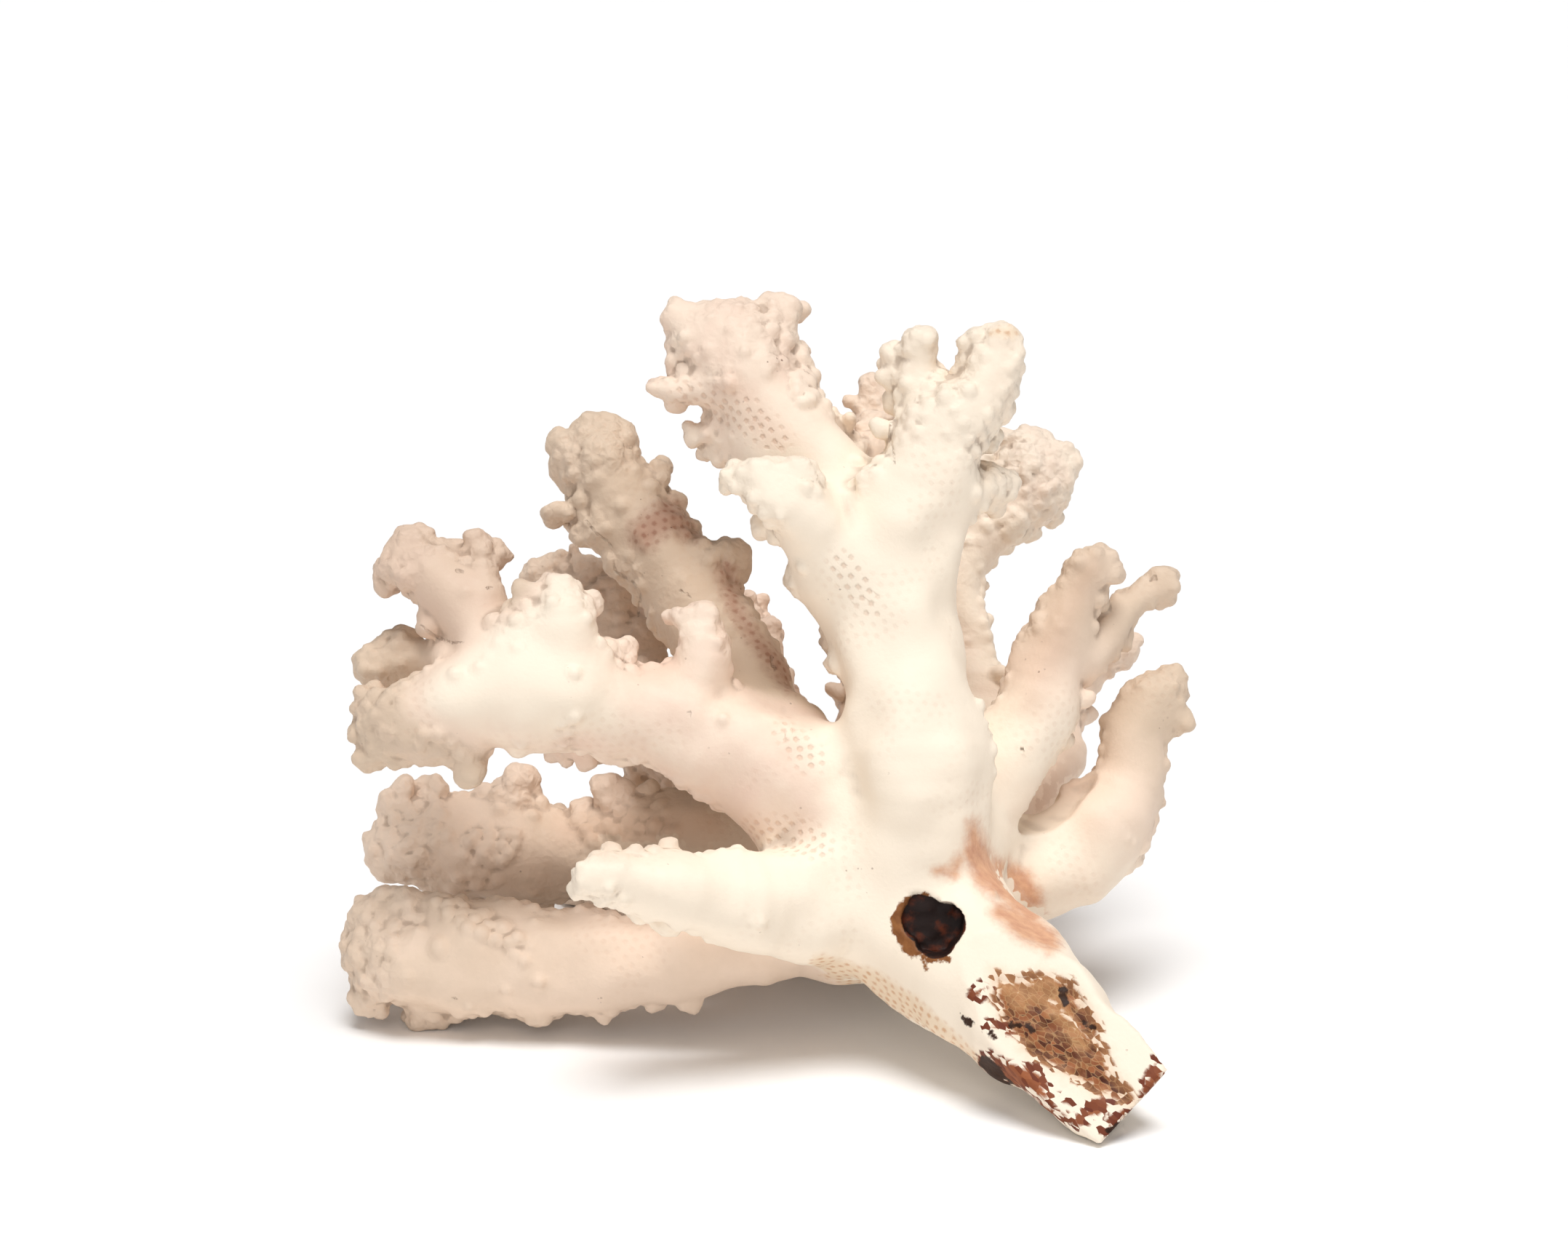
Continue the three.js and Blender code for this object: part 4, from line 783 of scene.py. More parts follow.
def mean_of_neighbours(points, quads):
    ends = np.concatenate([quads[:, [0, 1]], quads[:, [1, 2]], quads[:, [2, 3]], quads[:, [3, 0]]])
    ends = np.concatenate([ends, ends[:, ::-1]])
    count = np.maximum(np.bincount(ends[:, 0], minlength=len(points)), 1)
    sums = [np.bincount(ends[:, 0], points[ends[:, 1], d], len(points)) for d in range(points.shape[1])]
    return np.stack(sums, 1) / count[:, None]


def normals_of(points, quads):
    a, b, c, d = (points[quads[:, k]] for k in range(4))
    faces = np.cross(c - a, d - b)
    total = np.zeros_like(points)
    for k in range(4):
        for axis in range(3):
            total[:, axis] += np.bincount(quads[:, k], faces[:, axis], len(points))
    return total / np.maximum(np.linalg.norm(total, axis=1), 1e-12)[:, None]


def packed(points, order, spacing):
    """Picks points at least a spacing apart, in that order, until no room is left.

    Returns the picked indices and, for every point, the place in that list of the one nearest to it."""
    tree = KDTree(len(points))
    for i, p in enumerate(points):
        tree.insert(p, i)
    tree.balance()
    picked = []
    nearest = [-1] * len(points)
    reach = [spacing] * len(points)
    for i in order:
        if nearest[i] >= 0:
            continue
        for _, j, distance in tree.find_range(points[i], spacing):
            if nearest[j] < 0 or distance < reach[j]:
                nearest[j] = len(picked)
                reach[j] = distance
        picked.append(i)
    return np.array(picked), np.array(nearest)


def survey(field, runs, points):
    """What part of the coral each point is on.

    Returns its branch, its line, how far along the line it is and how far from its tip, what share of the
    branch's length lies behind it, and the direction of the tip."""
    run = field.at_nearest(points, field.run)
    branch, line = np.zeros(len(points), int), np.zeros(len(points), int)
    along, to_tip = np.zeros(len(points)), np.full(len(points), FAR)
    out, tipward = np.zeros(len(points)), np.zeros_like(points)
    for r in range(1, len(runs)):
        mine = np.nonzero(run == r)[0]
        if not len(mine):
            continue
        _, branch[mine], line[mine], places, distance, length, root = runs[r]
        nearest = np.linalg.norm(points[mine][:, None] - places[None], axis=2).argmin(1)
        along[mine] = distance[nearest]
        to_tip[mine] = length - distance[nearest]
        out[mine] = root + (1 - root) * distance[nearest] / length
        nearest = np.minimum(nearest, len(places) - 2)
        tipward[mine] = places[nearest + 1] - places[nearest]
    tipward /= np.maximum(np.linalg.norm(tipward, axis=1), 1e-9)[:, None]
    return branch, line, along, to_tip, out, tipward


def of_branch(key, branch):
    """What the table says under a key, for the branch of each point."""
    return np.array([entry[key] for entry in BRANCHES], float)[branch]


def wart_share(surveyed, normals):
    """The share of each place that small warts cover: edges and tips of branches, and knobbly faces."""
    branch, line, along, to_tip, _, _ = surveyed
    knobbly = of_branch("knobbly", branch)
    past_bare = np.where(line > 0, 1.0, ease(0, 6, along - of_branch("bare", branch)))
    facing = -normals @ AWAY
    edge = 0.9 * ease(0.5, 0.1, facing)
    tip = ease(7, 2, to_tip) * ease(1.1, 0.5, facing - knobbly)
    return np.maximum.reduce([edge, tip, knobbly]) * past_bare


def grow_warts(field, runs):
    """Covers the edges and tips of the branches with small round warts that crowd each other."""
    every = (slice(None, None, 2),) * 3
    coarse = field.values[every]
    points, quads, _, _, _ = skin_of(coarse, (coarse < 0).astype(np.int8), field.low, 2 * STEP)
    normals = normals_of(points, quads)
    order = np.argsort(chance(np.arange(len(points)), 8.3))
    picked, _ = packed(points, order, WART_SPACING)
    surveyed = survey(field, runs, points[picked])
    share = wart_share(surveyed, normals[picked])
    tipward = surveyed[-1]
    clump = 0.5 + 0.5 * lattice_noise(points[picked], 5.0, 4)
    for n, i in enumerate(picked):
        if 0.6 * clump[n] + 0.3 * chance(n, 3.7) >= 0.1 + 0.85 * share[n]:
            continue
        radius = WART_RADIUS * (0.6 + 0.7 * chance(n, 1.3))
        stand = radius * (0.5 * chance(n, 2.9) + WART_STAND)
        grow_lump(field, points[i], unit(normals[i] + 0.5 * tipward[n]), radius, stand)
    marks = marks_of(points, normals)
    crowded = np.nonzero(marks["rosette"] < 0)[0]
    picked, _ = packed(points[crowded], range(len(crowded)), ROSETTE_SPACING)
    for n, i in enumerate(crowded[picked]):
        grow_lump(field, points[i], normals[i], 0.75 + 0.3 * chance(n, 6.1), 0.3 * chance(n, 7.7) - 0.2)
    across, up, back = as_seen(points)
    for x, y, radius in LUMPS:
        near = np.nonzero(np.hypot(across - x, up - y) < 1)[0]
        i = near[back[near].argmin()]
        grow_lump(field, points[i], normals[i], radius, LUMP_STAND * radius)


def grow_lump(field, place, out, radius, stand):
    """Grows a small round lump on the skin, with its middle that far above it."""
    middle = place + out * stand
    places = np.array([middle - out * 0.9 * radius, middle])
    field.grow(places, np.array([0.8 * radius, radius]), WART_BLEND, reach=1.2)


def settle(field, points, quads, on_skin, rounds=2):
    """Evens out the points of the skin and sets them on it."""
    moving = np.nonzero(on_skin)[0]
    for _ in range(rounds):
        mean = mean_of_neighbours(points, quads)
        points[moving] += 0.5 * (mean[moving] - points[moving])
        slope = field.slope(points[moving])
        length = np.maximum((slope * slope).sum(1), 0.2)
        move = -field.sample(points[moving])[:, None] * slope / length[:, None]
        points[moving] += np.clip(move, -STEP * 0.7, STEP * 0.7)
    return points


# What the eye sees on the front, as strokes of (across, up, radius).
MARKS = {
    "rust": [
        [(20.8, -33.4, 0.4), (23.2, -33.6, 0.9), (24.4, -31.8, 0.5)],
        [(26, -27, 0.6), (26.4, -31, 1.8), (28, -34.2, 2), (31, -36.4, 1.5), (34, -39.6, 1.6)],
        [(30, -39, 1.5), (33, -40.8, 2.2), (36.5, -43, 1.6)],
        [(29.5, -33, 1.2), (32.5, -35, 1.8), (34.5, -37.2, 1.2)],
    ],
    "fracture": [
        [(29.4, -47.8, 0.5), (30.4, -50.5, 1.6), (33, -52.8, 3.4), (37, -56, 4), (41, -59.2, 3.2),
         (44, -62.6, 1.8), (47.3, -64.8, 0.7)],
        [(31.5, -49.6, 1.2), (35, -49.6, 1.8), (38, -50.4, 2), (40, -52.5, 1.6), (42, -55.4, 1.2)],
    ],
    "ochre": [
        [(29.8, -48.6, 0.8), (32.5, -50.4, 1.9), (36.5, -50.2, 1.9), (38.5, -53.5, 1.4), (41, -57.5, 1)],
    ],
    "rim": [
        [(28, -60, 1.2), (30.8, -61.6, 2.2), (34.2, -62.2, 1.8), (36, -64.6, 1)],
        [(35.5, -66, 0.7), (38.6, -67.2, 0.8)],
        [(40.8, -67.4, 0.9), (42.8, -66.2, 1.3), (44, -65, 0.6)],
        [(43.8, -69, 0.4), (47, -67.2, 0.7), (49.8, -65, 0.4)],
        [(50, -63.4, 0.6), (51.2, -61.4, 1), (51.2, -60, 0.5)],
        [(26.2, -50.6, 0.5), (27.6, -49.6, 0.4)],
        [(28.4, -54.8, 0.6), (31.2, -55.6, 0.5)],
        [(37.8, -64.4, 0.5), (39.6, -64.8, 0.5)],
    ],
    "tar": [
        [(27.6, -59.6, 0.7), (29.2, -61.4, 1), (31.4, -63.4, 0.6)],
        [(44.6, -69.2, 0.3), (47.4, -67.8, 0.6), (50, -65.8, 0.3)],
        [(24.2, -53.2, 0.15), (25.6, -54.2, 0.6)],
        [(31.4, -54.6, 0.5), (32.4, -54.7, 0.4)],
        [(33.6, -54.9, 0.4), (34.2, -55.3, 0.5)],
        [(28.2, -55.6, 0.3), (29.1, -56.4, 0.4)],
        [(38.2, -49.6, 0.5), (38.6, -51.4, 0.5)],
        [(41.4, -54.3, 0.6), (42.6, -55, 0.4)],
    ],
    "comb": [
        [(5, -46.2, 1.2), (12, -48.8, 1.8), (17, -52, 1.6), (22, -55.8, 1), (27, -59.6, 0.6)],
        [(28.8, 40.6, 0.4), (31.4, 40.6, 0.8)],
    ],
    "fringe": [
        [(16.4, -38.6, 0.8), (15.5, -40, 0.9), (16, -42, 1), (17.2, -43.6, 1.1)],
        [(17, -38, 0.6), (19.3, -36.9, 0.7)],
        [(19, -45.4, 0.6), (19.5, -46.9, 0.25)],
        [(17.5, -44.2, 0.8), (20, -45.4, 0.6), (22.4, -45.5, 0.4)],
    ],
    "brown": [
        [(-19, 13, 2.2), (-16, 15.5, 2.2), (-13, 13, 1.2)],
        [(-8, 8, 1), (-7, 3, 1), (-4, -1.5, 1), (-1, -5, 1.2), (1, -8, 0.8)],
    ],
    "flecked": [
        [(-18, 15, 3.5), (-16, 10.5, 2.5)],
        [(-7.6, 8, 1.2), (-6.6, 2, 1.5), (-3, -3, 1.6), (0, -6, 1.5)],
        [(-19, -6, 1.5), (-11, -6.5, 2)],
        [(-4, 30, 2), (0, 36, 3)],
    ],
    "pitted": [
        [(-4, -28, 2), (1, -28.5, 2.6), (5, -30, 2)],
        [(0, -14, 1.5), (3.5, -18, 2.2)],
        [(8, 8.5, 2), (10.5, 5, 2.4), (12, 2.5, 1.4)],
        [(-14, 32.5, 1.5), (-6, 29.5, 2.8), (-1, 26, 2)],
    ],
    "rosette": [
        [(-42, -29.6, 1.6), (-39.4, -30.3, 2.6), (-37.6, -29, 1.6)],
        [(-53.6, -30.8, 1.2), (-51.2, -31, 1.6)],
        [(32, 21.6, 1.8), (33.4, 23, 1.6)],
        [(31.8, 14.4, 1.6), (31.9, 13.4, 1.6)],
        [(-25.8, 24.2, 1.7), (-24.4, 24.6, 1.4)],
        [(2.6, 34, 1.6), (3, 31.6, 1.4)],
        [(29.4, 20.2, 1.6), (30.5, 18.8, 1.2)],
        [(-54, 8, 1.4), (-52.5, 6.6, 1)],
        [(-47.5, -37.4, 1), (-42, -41, 1.4), (-37.5, -42.5, 1.2)],
    ],
    "orange": [[(-7, 33.5, 1.5), (-3, 28, 2.5), (0, 25.5, 2.2)], [(-13, -6.5, 2), (-19, -6, 1.5)]],
    "crease": [
        [(-50, 0.3, 0.05), (-48, -1.2, 0.09), (-45.5, -2.2, 0.1), (-44, -2.1, 0.04)],
        [(-27.2, 14.6, 0.05), (-25.8, 12.9, 0.09), (-24.4, 12, 0.07), (-23.6, 11, 0.04)],
        [(-23.6, 9.4, 0.05), (-23.2, 7.6, 0.1), (-21, 6.4, 0.08), (-19.8, 4.6, 0.07), (-20, 1.6, 0.05)],
        [(-44.9, 7.8, 0.2), (-44.2, 7.6, 0.1)],
        [(-40.8, 5.4, 0.12), (-40.2, 5.4, 0.08)],
        [(-14.2, 5, 0.16), (-13.9, 4.7, 0.1)],
        [(-13.2, 4.6, 0.1), (-12.9, 4.1, 0.08)],
        [(-1.7, -4, 0.1), (-1.6, -5.2, 0.14), (-1.1, -5.6, 0.12), (-1.3, -5.9, 0.08)],
        [(50.4, 6.4, 0.12), (51, 7, 0.16), (51.2, 6.6, 0.1)],
        [(-45.6, -50.9, 0.1), (-45, -51, 0.12)],
        [(-13, -11.6, 0.16), (-13, -12.3, 0.08)],
        [(15, 30, 0.04), (14.5, 26.5, 0.08), (15.1, 24, 0.06), (15.2, 22.4, 0.04)],
    ],
    "shade": [
        [(33, -25.5, 0.8), (35.5, -23, 2.2), (39, -20, 1.2)],
        [(34, -10, 1.5), (36.5, -4, 2.2), (39.5, 3, 2), (42, 8, 1.4)],
        [(-30, -28, 1.5), (-24, -28, 3), (-15, -27.5, 3), (-10, -27, 2)],
    ],
    # Painted light: the front parts nearest the light, kept free of the tan of "tone".
    "white": [
        [(-29.8, 5.5, 1.5), (-33, -1, 4.5), (-40, -3, 3), (-42, -9, 4), (-49, -10, 2)],
        [(-33, -8, 5), (-26, -11, 3)],
        [(15, -15, 8), (16, -36, 8), (0, -37, 5), (-25, -35, 4)],
        [(14, 8, 7), (16, -14, 9)],
        [(0, 20, 4), (6, 10, 5)],
    ],
}
# Low round lumps that stand out of the front: (across, up, radius).
LUMPS = [
    (-47, -24.9, 1.2), (-51.8, -23.9, 1.1), (-46.5, -28.2, 1.2), (-39.6, -24.3, 1.1), (-40.5, -26.8, 0.9),
    (-37.2, -21.8, 1.2), (-34.4, -25, 1.3), (-54.4, -29.4, 1), (-28.6, -25.6, 1.6), (-41.5, -38.6, 1.6),
    (-38.8, -40.3, 1.5), (-47.2, -43.2, 1.8), (-22.2, 17.4, 1.3), (-26.8, 16.2, 1), (-17, 18, 1),
    (-51.2, -3.4, 0.7), (13.2, 28.2, 1.3), (10.8, 23.6, 1.2), (-6.5, 35, 0.6), (-2, 35, 0.6),
    (27.2, 18.6, 1.4), (31, 24, 1.3), (-45.5, -5.6, 1.4), (-20.8, -5, 1.4), (-22.4, 0.6, 1),
    (-36.4, -17, 1.2),
]


def stroke_distance(across, up, strokes):
    """How far each place lies outside the nearest stroke, below zero inside it."""
    least = np.full(len(across), FAR)
    for stroke in strokes:
        for (x0, y0, r0), (x1, y1, r1) in zip(stroke, stroke[1:]):
            dx, dy = x1 - x0, y1 - y0
            t = np.clip(((across - x0) * dx + (up - y0) * dy) / (dx * dx + dy * dy), 0, 1)
            distance = np.hypot(across - x0 - dx * t, up - y0 - dy * t) - (r0 + (r1 - r0) * t)
            least = np.minimum(least, distance)
    return least


def marks_of(points, normals):
    """How far each point lies outside each mark, up to MARK_REACH. Only the front bears marks."""
    across, up, back = as_seen(points)
    cells = 2 * VIEW_REACH
    cell = (np.rint(across) + VIEW_REACH).astype(int) * cells + (np.rint(up) + VIEW_REACH).astype(int)
    nearest = np.full(cells * cells, FAR)
    facing = normals @ AWAY < 0
    np.minimum.at(nearest, cell[facing], back[facing])
    front = ease(0.25, -0.15, normals @ AWAY) * ease(5, 3, back - nearest[cell])
    marks = {}
    for name, strokes in MARKS.items():
        distance = np.minimum(stroke_distance(across, up, strokes), MARK_REACH)
        marks[name] = distance * front + MARK_REACH * (1 - front)
    marks["bore"] = bore_distance(points)
    return marks


def stand_seams_up(field, labels):
    """Gives each place near the skin to the piece of the place under it: no seam runs along the skin."""
    near = np.argwhere((labels > 0) & (field.values > -2 * STEP))
    places = field.low + near * STEP
    under = field.at_nearest(places - SEAM_DEPTH * field.slope(places), labels)
    near = tuple(near[under > 0].T)
    labels[near] = under[under > 0]


def sink_caps(field, points, on_skin):
    """Keeps the points between two pieces clear of the skin."""
    inner = np.nonzero(~on_skin)[0]
    slope = field.slope(points[inner])
    length = np.maximum(np.linalg.norm(slope, axis=1), 0.3)
    push = np.maximum(field.sample(points[inner]) + CAP_DEPTH, 0)
    points[inner] -= slope * (push / length ** 2)[:, None]
    return points


def tints_of(surveyed, outer, marks):
    """How dark and how pink the coral is at each point, softened over the joins of its branches. The darkness
    is partly its own tan and partly painted shade, and the "white" strokes take it off as painted light.
    """
    branch, _, _, _, out, _ = surveyed
    tones = of_branch("tone", branch)
    tone = tones[:, 0] + (tones[:, 1] - tones[:, 0]) * ease(0.35, 0.95, out)
    blush = of_branch("blush", branch)
    # Painted light: the front parts under the "white" strokes lose their tan.
    painted_light_share = ease(2.5, -2, marks["white"])
    tint = np.stack([tone * (1 - painted_light_share), blush * (1 - painted_light_share)], 1)
    for _ in range(40):
        tint = mean_of_neighbours(tint, outer)
    return tint.T


def make_pieces():
    low = np.array(cad_low) / MM - MARGIN
    high = np.array(cad_high) / MM + MARGIN
    field = Field(low, high)
    runs = grow_branches(field)
    grid = [(low[d] + STEP * np.arange(field.count[d])).astype(np.float32) for d in range(3)]
    waves = swell(*np.meshgrid(*grid, indexing="ij", sparse=True)).astype(np.float32)
    field.values += (waves + np.float32(SLIM)) * (field.values < 4)
    del waves
    grow_warts(field, runs)
    carve(field)
    label_of_run = np.array([0] + [run[0] for run in runs[1:]], np.int8)
    labels = np.where(field.values < 0, label_of_run[field.run], 0).astype(np.int8)
    labels[(field.values < 0) & (labels == 0)] = 1
    stand_seams_up(field, labels)
    points, quads, owner, cap, on_skin = skin_of(field.values, labels, low, STEP)
    outer = quads[~cap]
    points = settle(field, points, outer, on_skin)
    normals = normals_of(points, outer)
    marks = marks_of(points, normals)
    surveyed = survey(field, runs, points)
    tone, blush = tints_of(surveyed, outer, marks)
    rough = wart_share(surveyed, normals)
    smooth = points
    for _ in range(6):
        smooth = mean_of_neighbours(smooth, outer)
    # How deep each point lies in a crease, below its smoothed neighbours, for the painted shade there.
    hollow = ((smooth - points) * normals).sum(1)
    lumps = 0.10 * lattice_noise(points, 3.0, 1) + 0.15 * lattice_noise(points, 6.0, 2)
    lumps += 0.22 * rough * lattice_noise(points, 1.5, 3) + 0.3 * ease(0.8, -0.8, marks["rosette"])
    sawn = 1 - ease(0.5, 1.5, np.abs(sawn_distance(points)))
    broken = ease(0.8, -0.4, marks["fracture"])
    relief = lumps * (1 - sawn) - broken * (0.4 + 0.4 * lattice_noise(points, 1.1, 5))
    relief += 0.3 * ease(1, 0, marks["bore"]) * lattice_noise(points, 1.3, 6)
    points = points + normals * relief[:, None] * on_skin[:, None]
    points = sink_caps(field, points, on_skin)
    points[:, 2] = np.maximum(points[:, 2], 0)
    normals = normals_of(points, outer)
    skin = np.nonzero(on_skin)[0]
    order = np.argsort(points[skin] @ (UP + 0.35 * RIGHT + 0.2 * AWAY))
    picked, nearest = packed(points[skin], order, PIT_SPACING)
    pit = np.full(len(points), PIT_SPACING)
    pit[skin] = np.linalg.norm(points[skin] - points[skin][picked][nearest], axis=1)
    facts = dict(marks, rough=rough, hollow=hollow, sawn=sawn, tone=tone, blush=blush, pit=pit)
    sunk = cap & (on_skin[quads].sum(1) < 3)
    for n, name in enumerate(PIECES):
        mine = owner == n + 1
        make_piece(name, points, normals, quads[mine], sunk[mine], facts)


def make_piece(name, points, normals, quads, sunk, facts):
    used, index = np.unique(quads, return_inverse=True)
    index = index.reshape(-1, 4)
    mesh = bpy.data.meshes.new("coral_" + name)
    mesh.vertices.add(len(used))
    mesh.vertices.foreach_set("co", (points[used] * MM).astype(np.float32).ravel())
    mesh.loops.add(index.size)
    mesh.loops.foreach_set("vertex_index", index.ravel().astype(np.int32))
    mesh.polygons.add(len(index))
    mesh.polygons.foreach_set("loop_start", np.arange(0, index.size, 4, dtype=np.int32))
    mesh.polygons.foreach_set("loop_total", np.full(len(index), 4, np.int32))
    mesh.update(calc_edges=True)
    for fact, values in facts.items():
        mesh.attributes.new(fact, "FLOAT", "POINT").data.foreach_set("value", values[used].astype(np.float32))
    corner_normals = normals[used][index]
    a, b, c, d = (points[quads[:, k]] for k in range(4))
    flat = np.cross(c - a, d - b)
    flat /= np.maximum(np.linalg.norm(flat, axis=1), 1e-12)[:, None]
    side = np.where((corner_normals * flat[:, None, :]).sum(2) < 0, -1, 1)
    corner_normals = corner_normals * side[:, :, None]
    corner_normals[sunk] = flat[sunk][:, None, :]
    mesh.normals_split_custom_set(corner_normals.reshape(-1, 3).tolist())
    mesh.validate()
    piece = bpy.data.objects.new("coral_" + name, mesh)
    bpy.context.scene.collection.objects.link(piece)
    mesh.materials.append(coral_material())
    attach(piece, "root")
    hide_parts("trunk" if name in TRUNK_PIECES else name)
    return piece


def colour(code):
    """A colour written as in a paint chart, as the shader takes it."""
    parts = [int(code[i:i + 2], 16) / 255 for i in (0, 2, 4)]
    return [p / 12.92 if p <= 0.04045 else ((p + 0.055) / 1.055) ** 2.4 for p in parts] + [1.0]


class Shader:
    """Short ways to add and join the nodes of a material."""

    def __init__(self, name):
        self.material = bpy.data.materials.new(name)
        self.material.use_nodes = True
        self.tree = self.material.node_tree
        self.surface = self.tree.nodes["Principled BSDF"]
        self.place = self.node("ShaderNodeTexCoord").outputs["Object"]

    def node(self, kind, **settings):
        made = self.tree.nodes.new(kind)
        for key, value in settings.items():
            setattr(made, key, value)
        return made

    def feed(self, socket, value):
        if isinstance(value, bpy.types.NodeSocket):
            self.tree.links.new(value, socket)
        else:
            socket.default_value = value

    def fact(self, name):
        return self.node("ShaderNodeAttribute", attribute_name=name).outputs["Fac"]

    def math(self, operation, a, b=0.0, c=0.0):
        made = self.node("ShaderNodeMath", operation=operation)
        for socket, value in zip(made.inputs, (a, b, c)):
            self.feed(socket, value)
        return made.outputs["Value"]

    def span(self, value, low, high, start=0.0, end=1.0):
        made = self.node("ShaderNodeMapRange", interpolation_type="SMOOTHSTEP")
        names = ("Value", "From Min", "From Max", "To Min", "To Max")
        for name, v in zip(names, (value, low, high, start, end)):
            self.feed(made.inputs[name], v)
        return made.outputs["Result"]

    def stretched(self, direction, share):
        """The place, squeezed along a direction to that share, so that patterns stretch along it."""
        along = self.node("ShaderNodeVectorMath", operation="PROJECT")
        self.feed(along.inputs[0], self.place)
        self.feed(along.inputs[1], direction)
        scaled = self.node("ShaderNodeVectorMath", operation="SCALE")
        self.feed(scaled.inputs[0], along.outputs["Vector"])
        self.feed(scaled.inputs["Scale"], share - 1)
        moved = self.node("ShaderNodeVectorMath", operation="ADD")
        self.feed(moved.inputs[0], self.place)
        self.feed(moved.inputs[1], scaled.outputs["Vector"])
        return moved.outputs["Vector"]

    def noise(self, size_mm, detail=2.0, roughness=0.5, place=None):
        made = self.node("ShaderNodeTexNoise")
        self.feed(made.inputs["Vector"], place or self.place)
        self.feed(made.inputs["Scale"], 1 / (size_mm * MM))
        self.feed(made.inputs["Detail"], detail)
        self.feed(made.inputs["Roughness"], roughness)
        return made.outputs["Fac"]

    def cells(self, size_mm, feature="F1", place=None):
        made = self.node("ShaderNodeTexVoronoi", feature=feature)
        self.feed(made.inputs["Vector"], place or self.place)
        self.feed(made.inputs["Scale"], 1 / (size_mm * MM))
        return made

    def mix(self, share, a, b):
        made = self.node("ShaderNodeMix", data_type="RGBA")
        colours = [socket for socket in made.inputs if socket.type == "RGBA"]
        for socket, value in zip([made.inputs["Factor"]] + colours, (share, a, b)):
            self.feed(socket, value)
        return next(socket for socket in made.outputs if socket.type == "RGBA")

    def bump(self, height, depth_mm, normal=None):
        made = self.node("ShaderNodeBump")
        self.feed(made.inputs["Height"], height)
        self.feed(made.inputs["Distance"], depth_mm * MM)
        if normal is not None:
            self.feed(made.inputs["Normal"], normal)
        return made.outputs["Normal"]


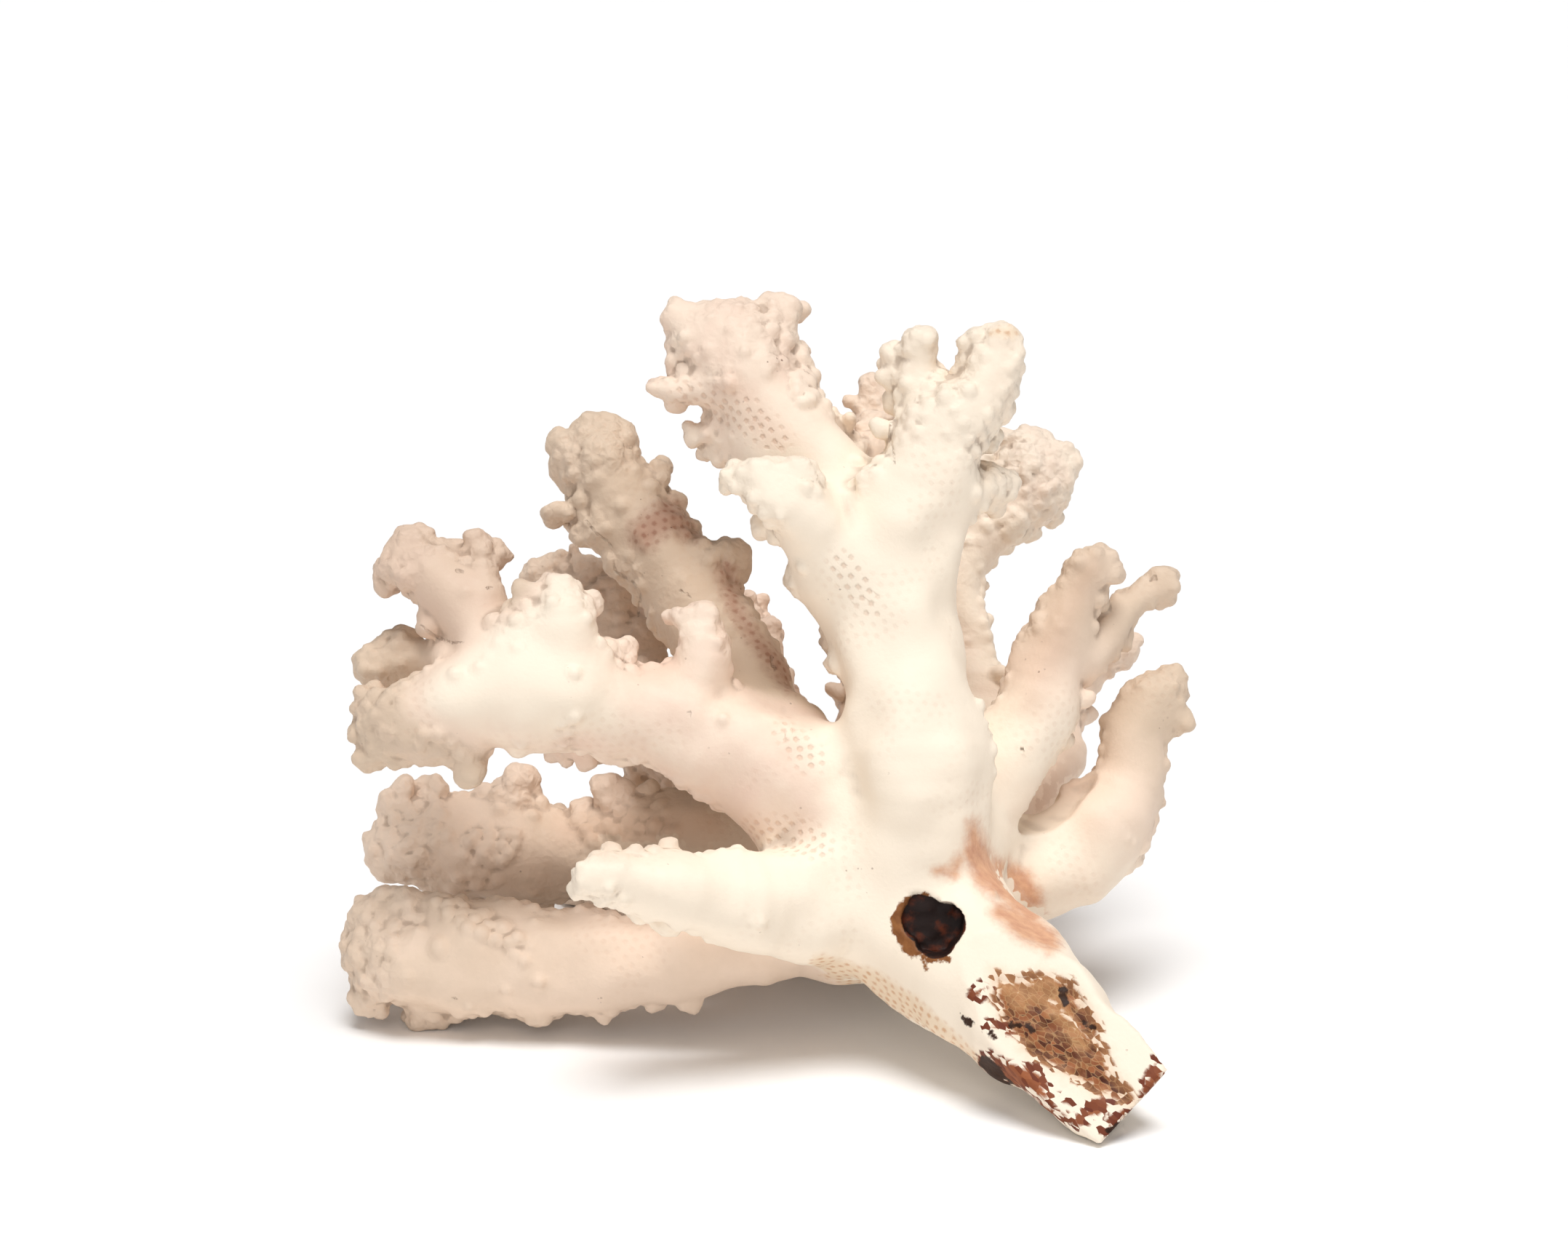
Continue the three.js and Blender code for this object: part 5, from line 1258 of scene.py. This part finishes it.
def coral_material():
    if "coral_skeleton" in bpy.data.materials:
        return bpy.data.materials["coral_skeleton"]
    s = Shader("coral_skeleton")
    ragged = s.math("SUBTRACT", s.noise(1.6, 5, 0.65), 0.5)

    def inside(mark, soft, ragged_mm):
        """1 inside a mark and 0 outside, over a soft edge and as ragged as that."""
        distance = s.math("MULTIPLY_ADD", ragged, 2 * ragged_mm, s.fact(mark))
        return s.span(distance, soft, -soft)

    def paint(base, share, most, paint_colour):
        return s.mix(s.math("MULTIPLY", share, most), base, paint_colour)

    rough = s.fact("rough")
    cloud = s.math("MULTIPLY", s.math("SUBTRACT", s.noise(9, 4, 0.6), 0.5), 0.9)
    # The tan of "tone": partly the coral's own colour and partly painted shade on the branches further back
    # and underneath.
    tone = s.math("MULTIPLY_ADD", cloud, 0.6, s.fact("tone"))
    base = s.mix(s.span(tone, 0.0, 0.5), colour("FDEEDA"), colour("F3DBC6"))
    base = s.mix(s.span(tone, 0.45, 1.0), base, colour("DAC3AB"))
    base = paint(base, s.span(s.math("ADD", s.fact("blush"), cloud), 0.3, 1.1), 0.5, colour("E9C6B6"))
    # Tan over the warts, which also cover the edges that turn away from the front: partly the warts' own
    # colour and partly painted shade on those edges.
    base = paint(base, rough, 0.12, colour("D2BCAA"))
    base = paint(base, inside("orange", 1.6, 1.0), 0.12, colour("E2A080"))
    base = paint(base, inside("brown", 1.6, 1.5), 0.65, colour("A87660"))
    # Painted shade: darker in the recess behind the root of the right arm, along the right arm and on the
    # inner part of the upper lower-left branch.
    base = paint(base, inside("shade", 2.5, 0.5), 0.36, colour("BE9478"))

    # The pit of each polyp.
    dot = s.span(s.fact("pit"), 0.58, 0.2)
    comb = inside("comb", 0.7, 0.6)
    faint = s.math("MULTIPLY", s.span(s.noise(12, 2), 0.5, 0.66), 0.3)
    patch = s.math("MAXIMUM", inside("pitted", 1.2, 0.8), faint)
    pit = s.math("MULTIPLY", dot, s.math("MULTIPLY", patch, s.math("SUBTRACT", 1.0, s.fact("sawn"))))
    base = paint(base, pit, 0.36, colour("CFA284"))
    base = paint(base, s.math("MULTIPLY", dot, inside("brown", 1.0, 1.0)), 0.5, colour("8A5038"))
    base = paint(base, comb, 0.45, colour("E6C59C"))
    base = paint(base, s.math("MULTIPLY", comb, dot), 0.6, colour("CB8F5C"))
    # Painted shade: darker in the creases and hollows of the skin.
    base = paint(base, s.span(s.fact("hollow"), 0.04, 0.2), 0.5, colour("927864"))

    # The grain of the crowded lumps, the dark creases, which are painted shade, and the flecks.
    seam = s.cells(1.25, "DISTANCE_TO_EDGE").outputs["Distance"]
    # Painted shade: thin dark lines along the creases and under the overhanging lips.
    crease = s.span(s.math("MULTIPLY_ADD", ragged, 0.4, s.fact("crease")), 0.2, -0.05)
    base = paint(base, s.math("MULTIPLY", crease, s.span(s.noise(0.9, 3), 0.34, 0.55)), 0.5, colour("7E6352"))
    scattered = s.math("MULTIPLY", s.span(s.noise(7, 2), 0.55, 0.7), 0.7)
    near_flecks = s.math("ADD", scattered, inside("flecked", 1.5, 1.5))
    speck = s.span(s.cells(1.5).outputs["Distance"], 0.14, 0.08)
    speck = s.math("MULTIPLY", speck, s.span(s.noise(1.2, 3), 0.5, 0.56))
    speck = s.math("MULTIPLY", speck, s.math("MINIMUM", near_flecks, 1.0))
    base = paint(base, speck, 0.75, colour("6E4634"))

    # The stem: rust in the folds, the brown fracture with its ribs, stains along the rim, and the bore,
    # painted near-black for the shade inside it with reddish painted glints.
    ribs = s.stretched(0.77 * RIGHT - 0.64 * UP, 0.5)
    streak = s.noise(1.1, 4, 0.6, place=ribs)
    rusty = s.mix(s.span(streak, 0.2, 0.8), colour("E2A270"), colour("BE6A3A"))
    base = paint(base, inside("rust", 1.3, 1.2), 0.75, rusty)
    grains = s.cells(0.62, place=ribs)
    pick = s.node("ShaderNodeSeparateColor")
    s.feed(pick.inputs[0], grains.outputs["Color"])
    odd = pick.outputs[0]
    loose = s.math("MULTIPLY_ADD", odd, 2.2, s.math("MULTIPLY_ADD", ragged, 1.2, -1.1))
    between = s.span(s.cells(0.62, "DISTANCE_TO_EDGE", place=ribs).outputs["Distance"], 0.07, 0.02)

    def grainy(mark, soft=0.3):
        """1 inside a mark and 0 outside, where its edge breaks up into grains."""
        return s.span(s.math("ADD", s.fact(mark), loose), soft, -soft)

    brown = s.mix(s.span(odd, 0.1, 0.9), colour("4E2416"), colour("9C5E3A"))
    brown = s.mix(s.math("MULTIPLY", s.span(streak, 0.4, 0.75), 0.6), brown, colour("B98456"))
    brown = paint(brown, inside("ochre", 0.7, 1.0), 0.7, s.mix(streak, colour("955A30"), colour("D6A777")))
    brown = paint(brown, between, 0.4, colour("CFA878"))
    brown = paint(brown, s.span(s.fact("fracture"), -1.6, 0.6), 0.5, colour("C48C60"))
    base = paint(base, inside("fracture", 2.2, 1.6), 0.6, colour("E3B890"))
    base = s.mix(grainy("fracture"), base, brown)
    base = s.mix(grainy("rim"), base, s.mix(odd, colour("6A2F1C"), colour("A9653F")))
    base = s.mix(inside("tar", 0.15, 1.1), base, s.mix(s.noise(0.8, 3), colour("200C06"), colour("44260F")))
    base = s.mix(inside("fringe", 0.2, 1.2), base, s.mix(streak, colour("54260F"), colour("A9703F")))
    # The bore: partly its own dark brown and partly painted shade inside the hole, near-black, with reddish
    # painted glints.
    hole = s.span(s.math("MULTIPLY_ADD", ragged, 0.5, s.fact("bore")), 0.5, 0.3)
    base = s.mix(hole, base, s.mix(s.span(s.noise(1.8, 4), 0.5, 0.8), colour("1E0D08"), colour("62290F")))
    s.feed(s.surface.inputs["Base Color"], base)
    s.feed(s.surface.inputs["Roughness"], s.span(s.noise(2.4, 3), 0.3, 0.7, 0.5, 0.66))
    s.feed(s.surface.inputs["Specular IOR Level"], 0.25)
    grain = s.bump(s.noise(0.6, 4, 0.6), 0.06)
    pitted = s.bump(s.math("MULTIPLY", pit, -1.0), 0.12, grain)
    lumpy = s.bump(s.math("MULTIPLY", s.span(seam, 0.0, 0.5), rough), 0.12, pitted)
    s.feed(s.surface.inputs["Normal"], s.bump(s.math("MULTIPLY", crease, -1.0), 0.15, lumpy))
    return s.material


def paper_material():
    s = Shader("white_paper")
    s.feed(s.surface.inputs["Base Color"], s.mix(s.noise(40, 3), colour("FDFCFB"), colour("FFFFFF")))
    s.feed(s.surface.inputs["Roughness"], s.span(s.noise(3, 2), 0.3, 0.7, 0.85, 0.95))
    return s.material


def make_floor():
    size = 4.0
    mesh = bpy.data.meshes.new("floor")
    corners = [(-size, -size, 0), (size, -size, 0), (size, size, 0), (-size, size, 0)]
    mesh.from_pydata(corners, [], [(0, 1, 2, 3)])
    mesh.materials.append(paper_material())
    floor = bpy.data.objects.new("floor", mesh)
    bpy.context.scene.collection.objects.link(floor)


def make_lamp(name, comes_from, softness, strength):
    """A broad soft light from a direction, even over the whole floor."""
    lamp = bpy.data.lights.new(name, "SUN")
    lamp.angle = math.radians(softness)
    lamp.energy = strength
    made = bpy.data.objects.new(name, lamp)
    bpy.context.scene.collection.objects.link(made)
    made.rotation_euler = (-Vector(comes_from)).to_track_quat("-Z", "Y").to_euler()


def make_light():
    world = bpy.data.worlds.new("studio")
    bpy.context.scene.world = world
    world.use_nodes = True
    world.node_tree.nodes["Background"].inputs["Color"].default_value = (1.0, 1.0, 1.0, 1.0)
    world.node_tree.nodes["Background"].inputs["Strength"].default_value = 0.25
    make_lamp("key", (0.05, -0.2, 1.0), 30, 2.45)
    make_lamp("fill", (-0.1, -1.0, 0.35), 50, 0.55)
    bpy.context.scene.view_settings.view_transform = "Standard"


def make_camera():
    lens = bpy.data.cameras.new("camera")
    lens.sensor_width = 36
    lens.lens = lens.sensor_width * VIEW_DISTANCE / VIEW_WIDTH
    lens.clip_start = 0.01
    camera = bpy.data.objects.new("camera", lens)
    bpy.context.scene.collection.objects.link(camera)
    camera.location = (MIDDLE - AWAY * VIEW_DISTANCE) * MM
    camera.rotation_euler = Vector(AWAY).to_track_quat("-Z", "Y").to_euler()
    bpy.context.scene.camera = camera


make_pieces()
make_floor()
make_light()
make_camera()
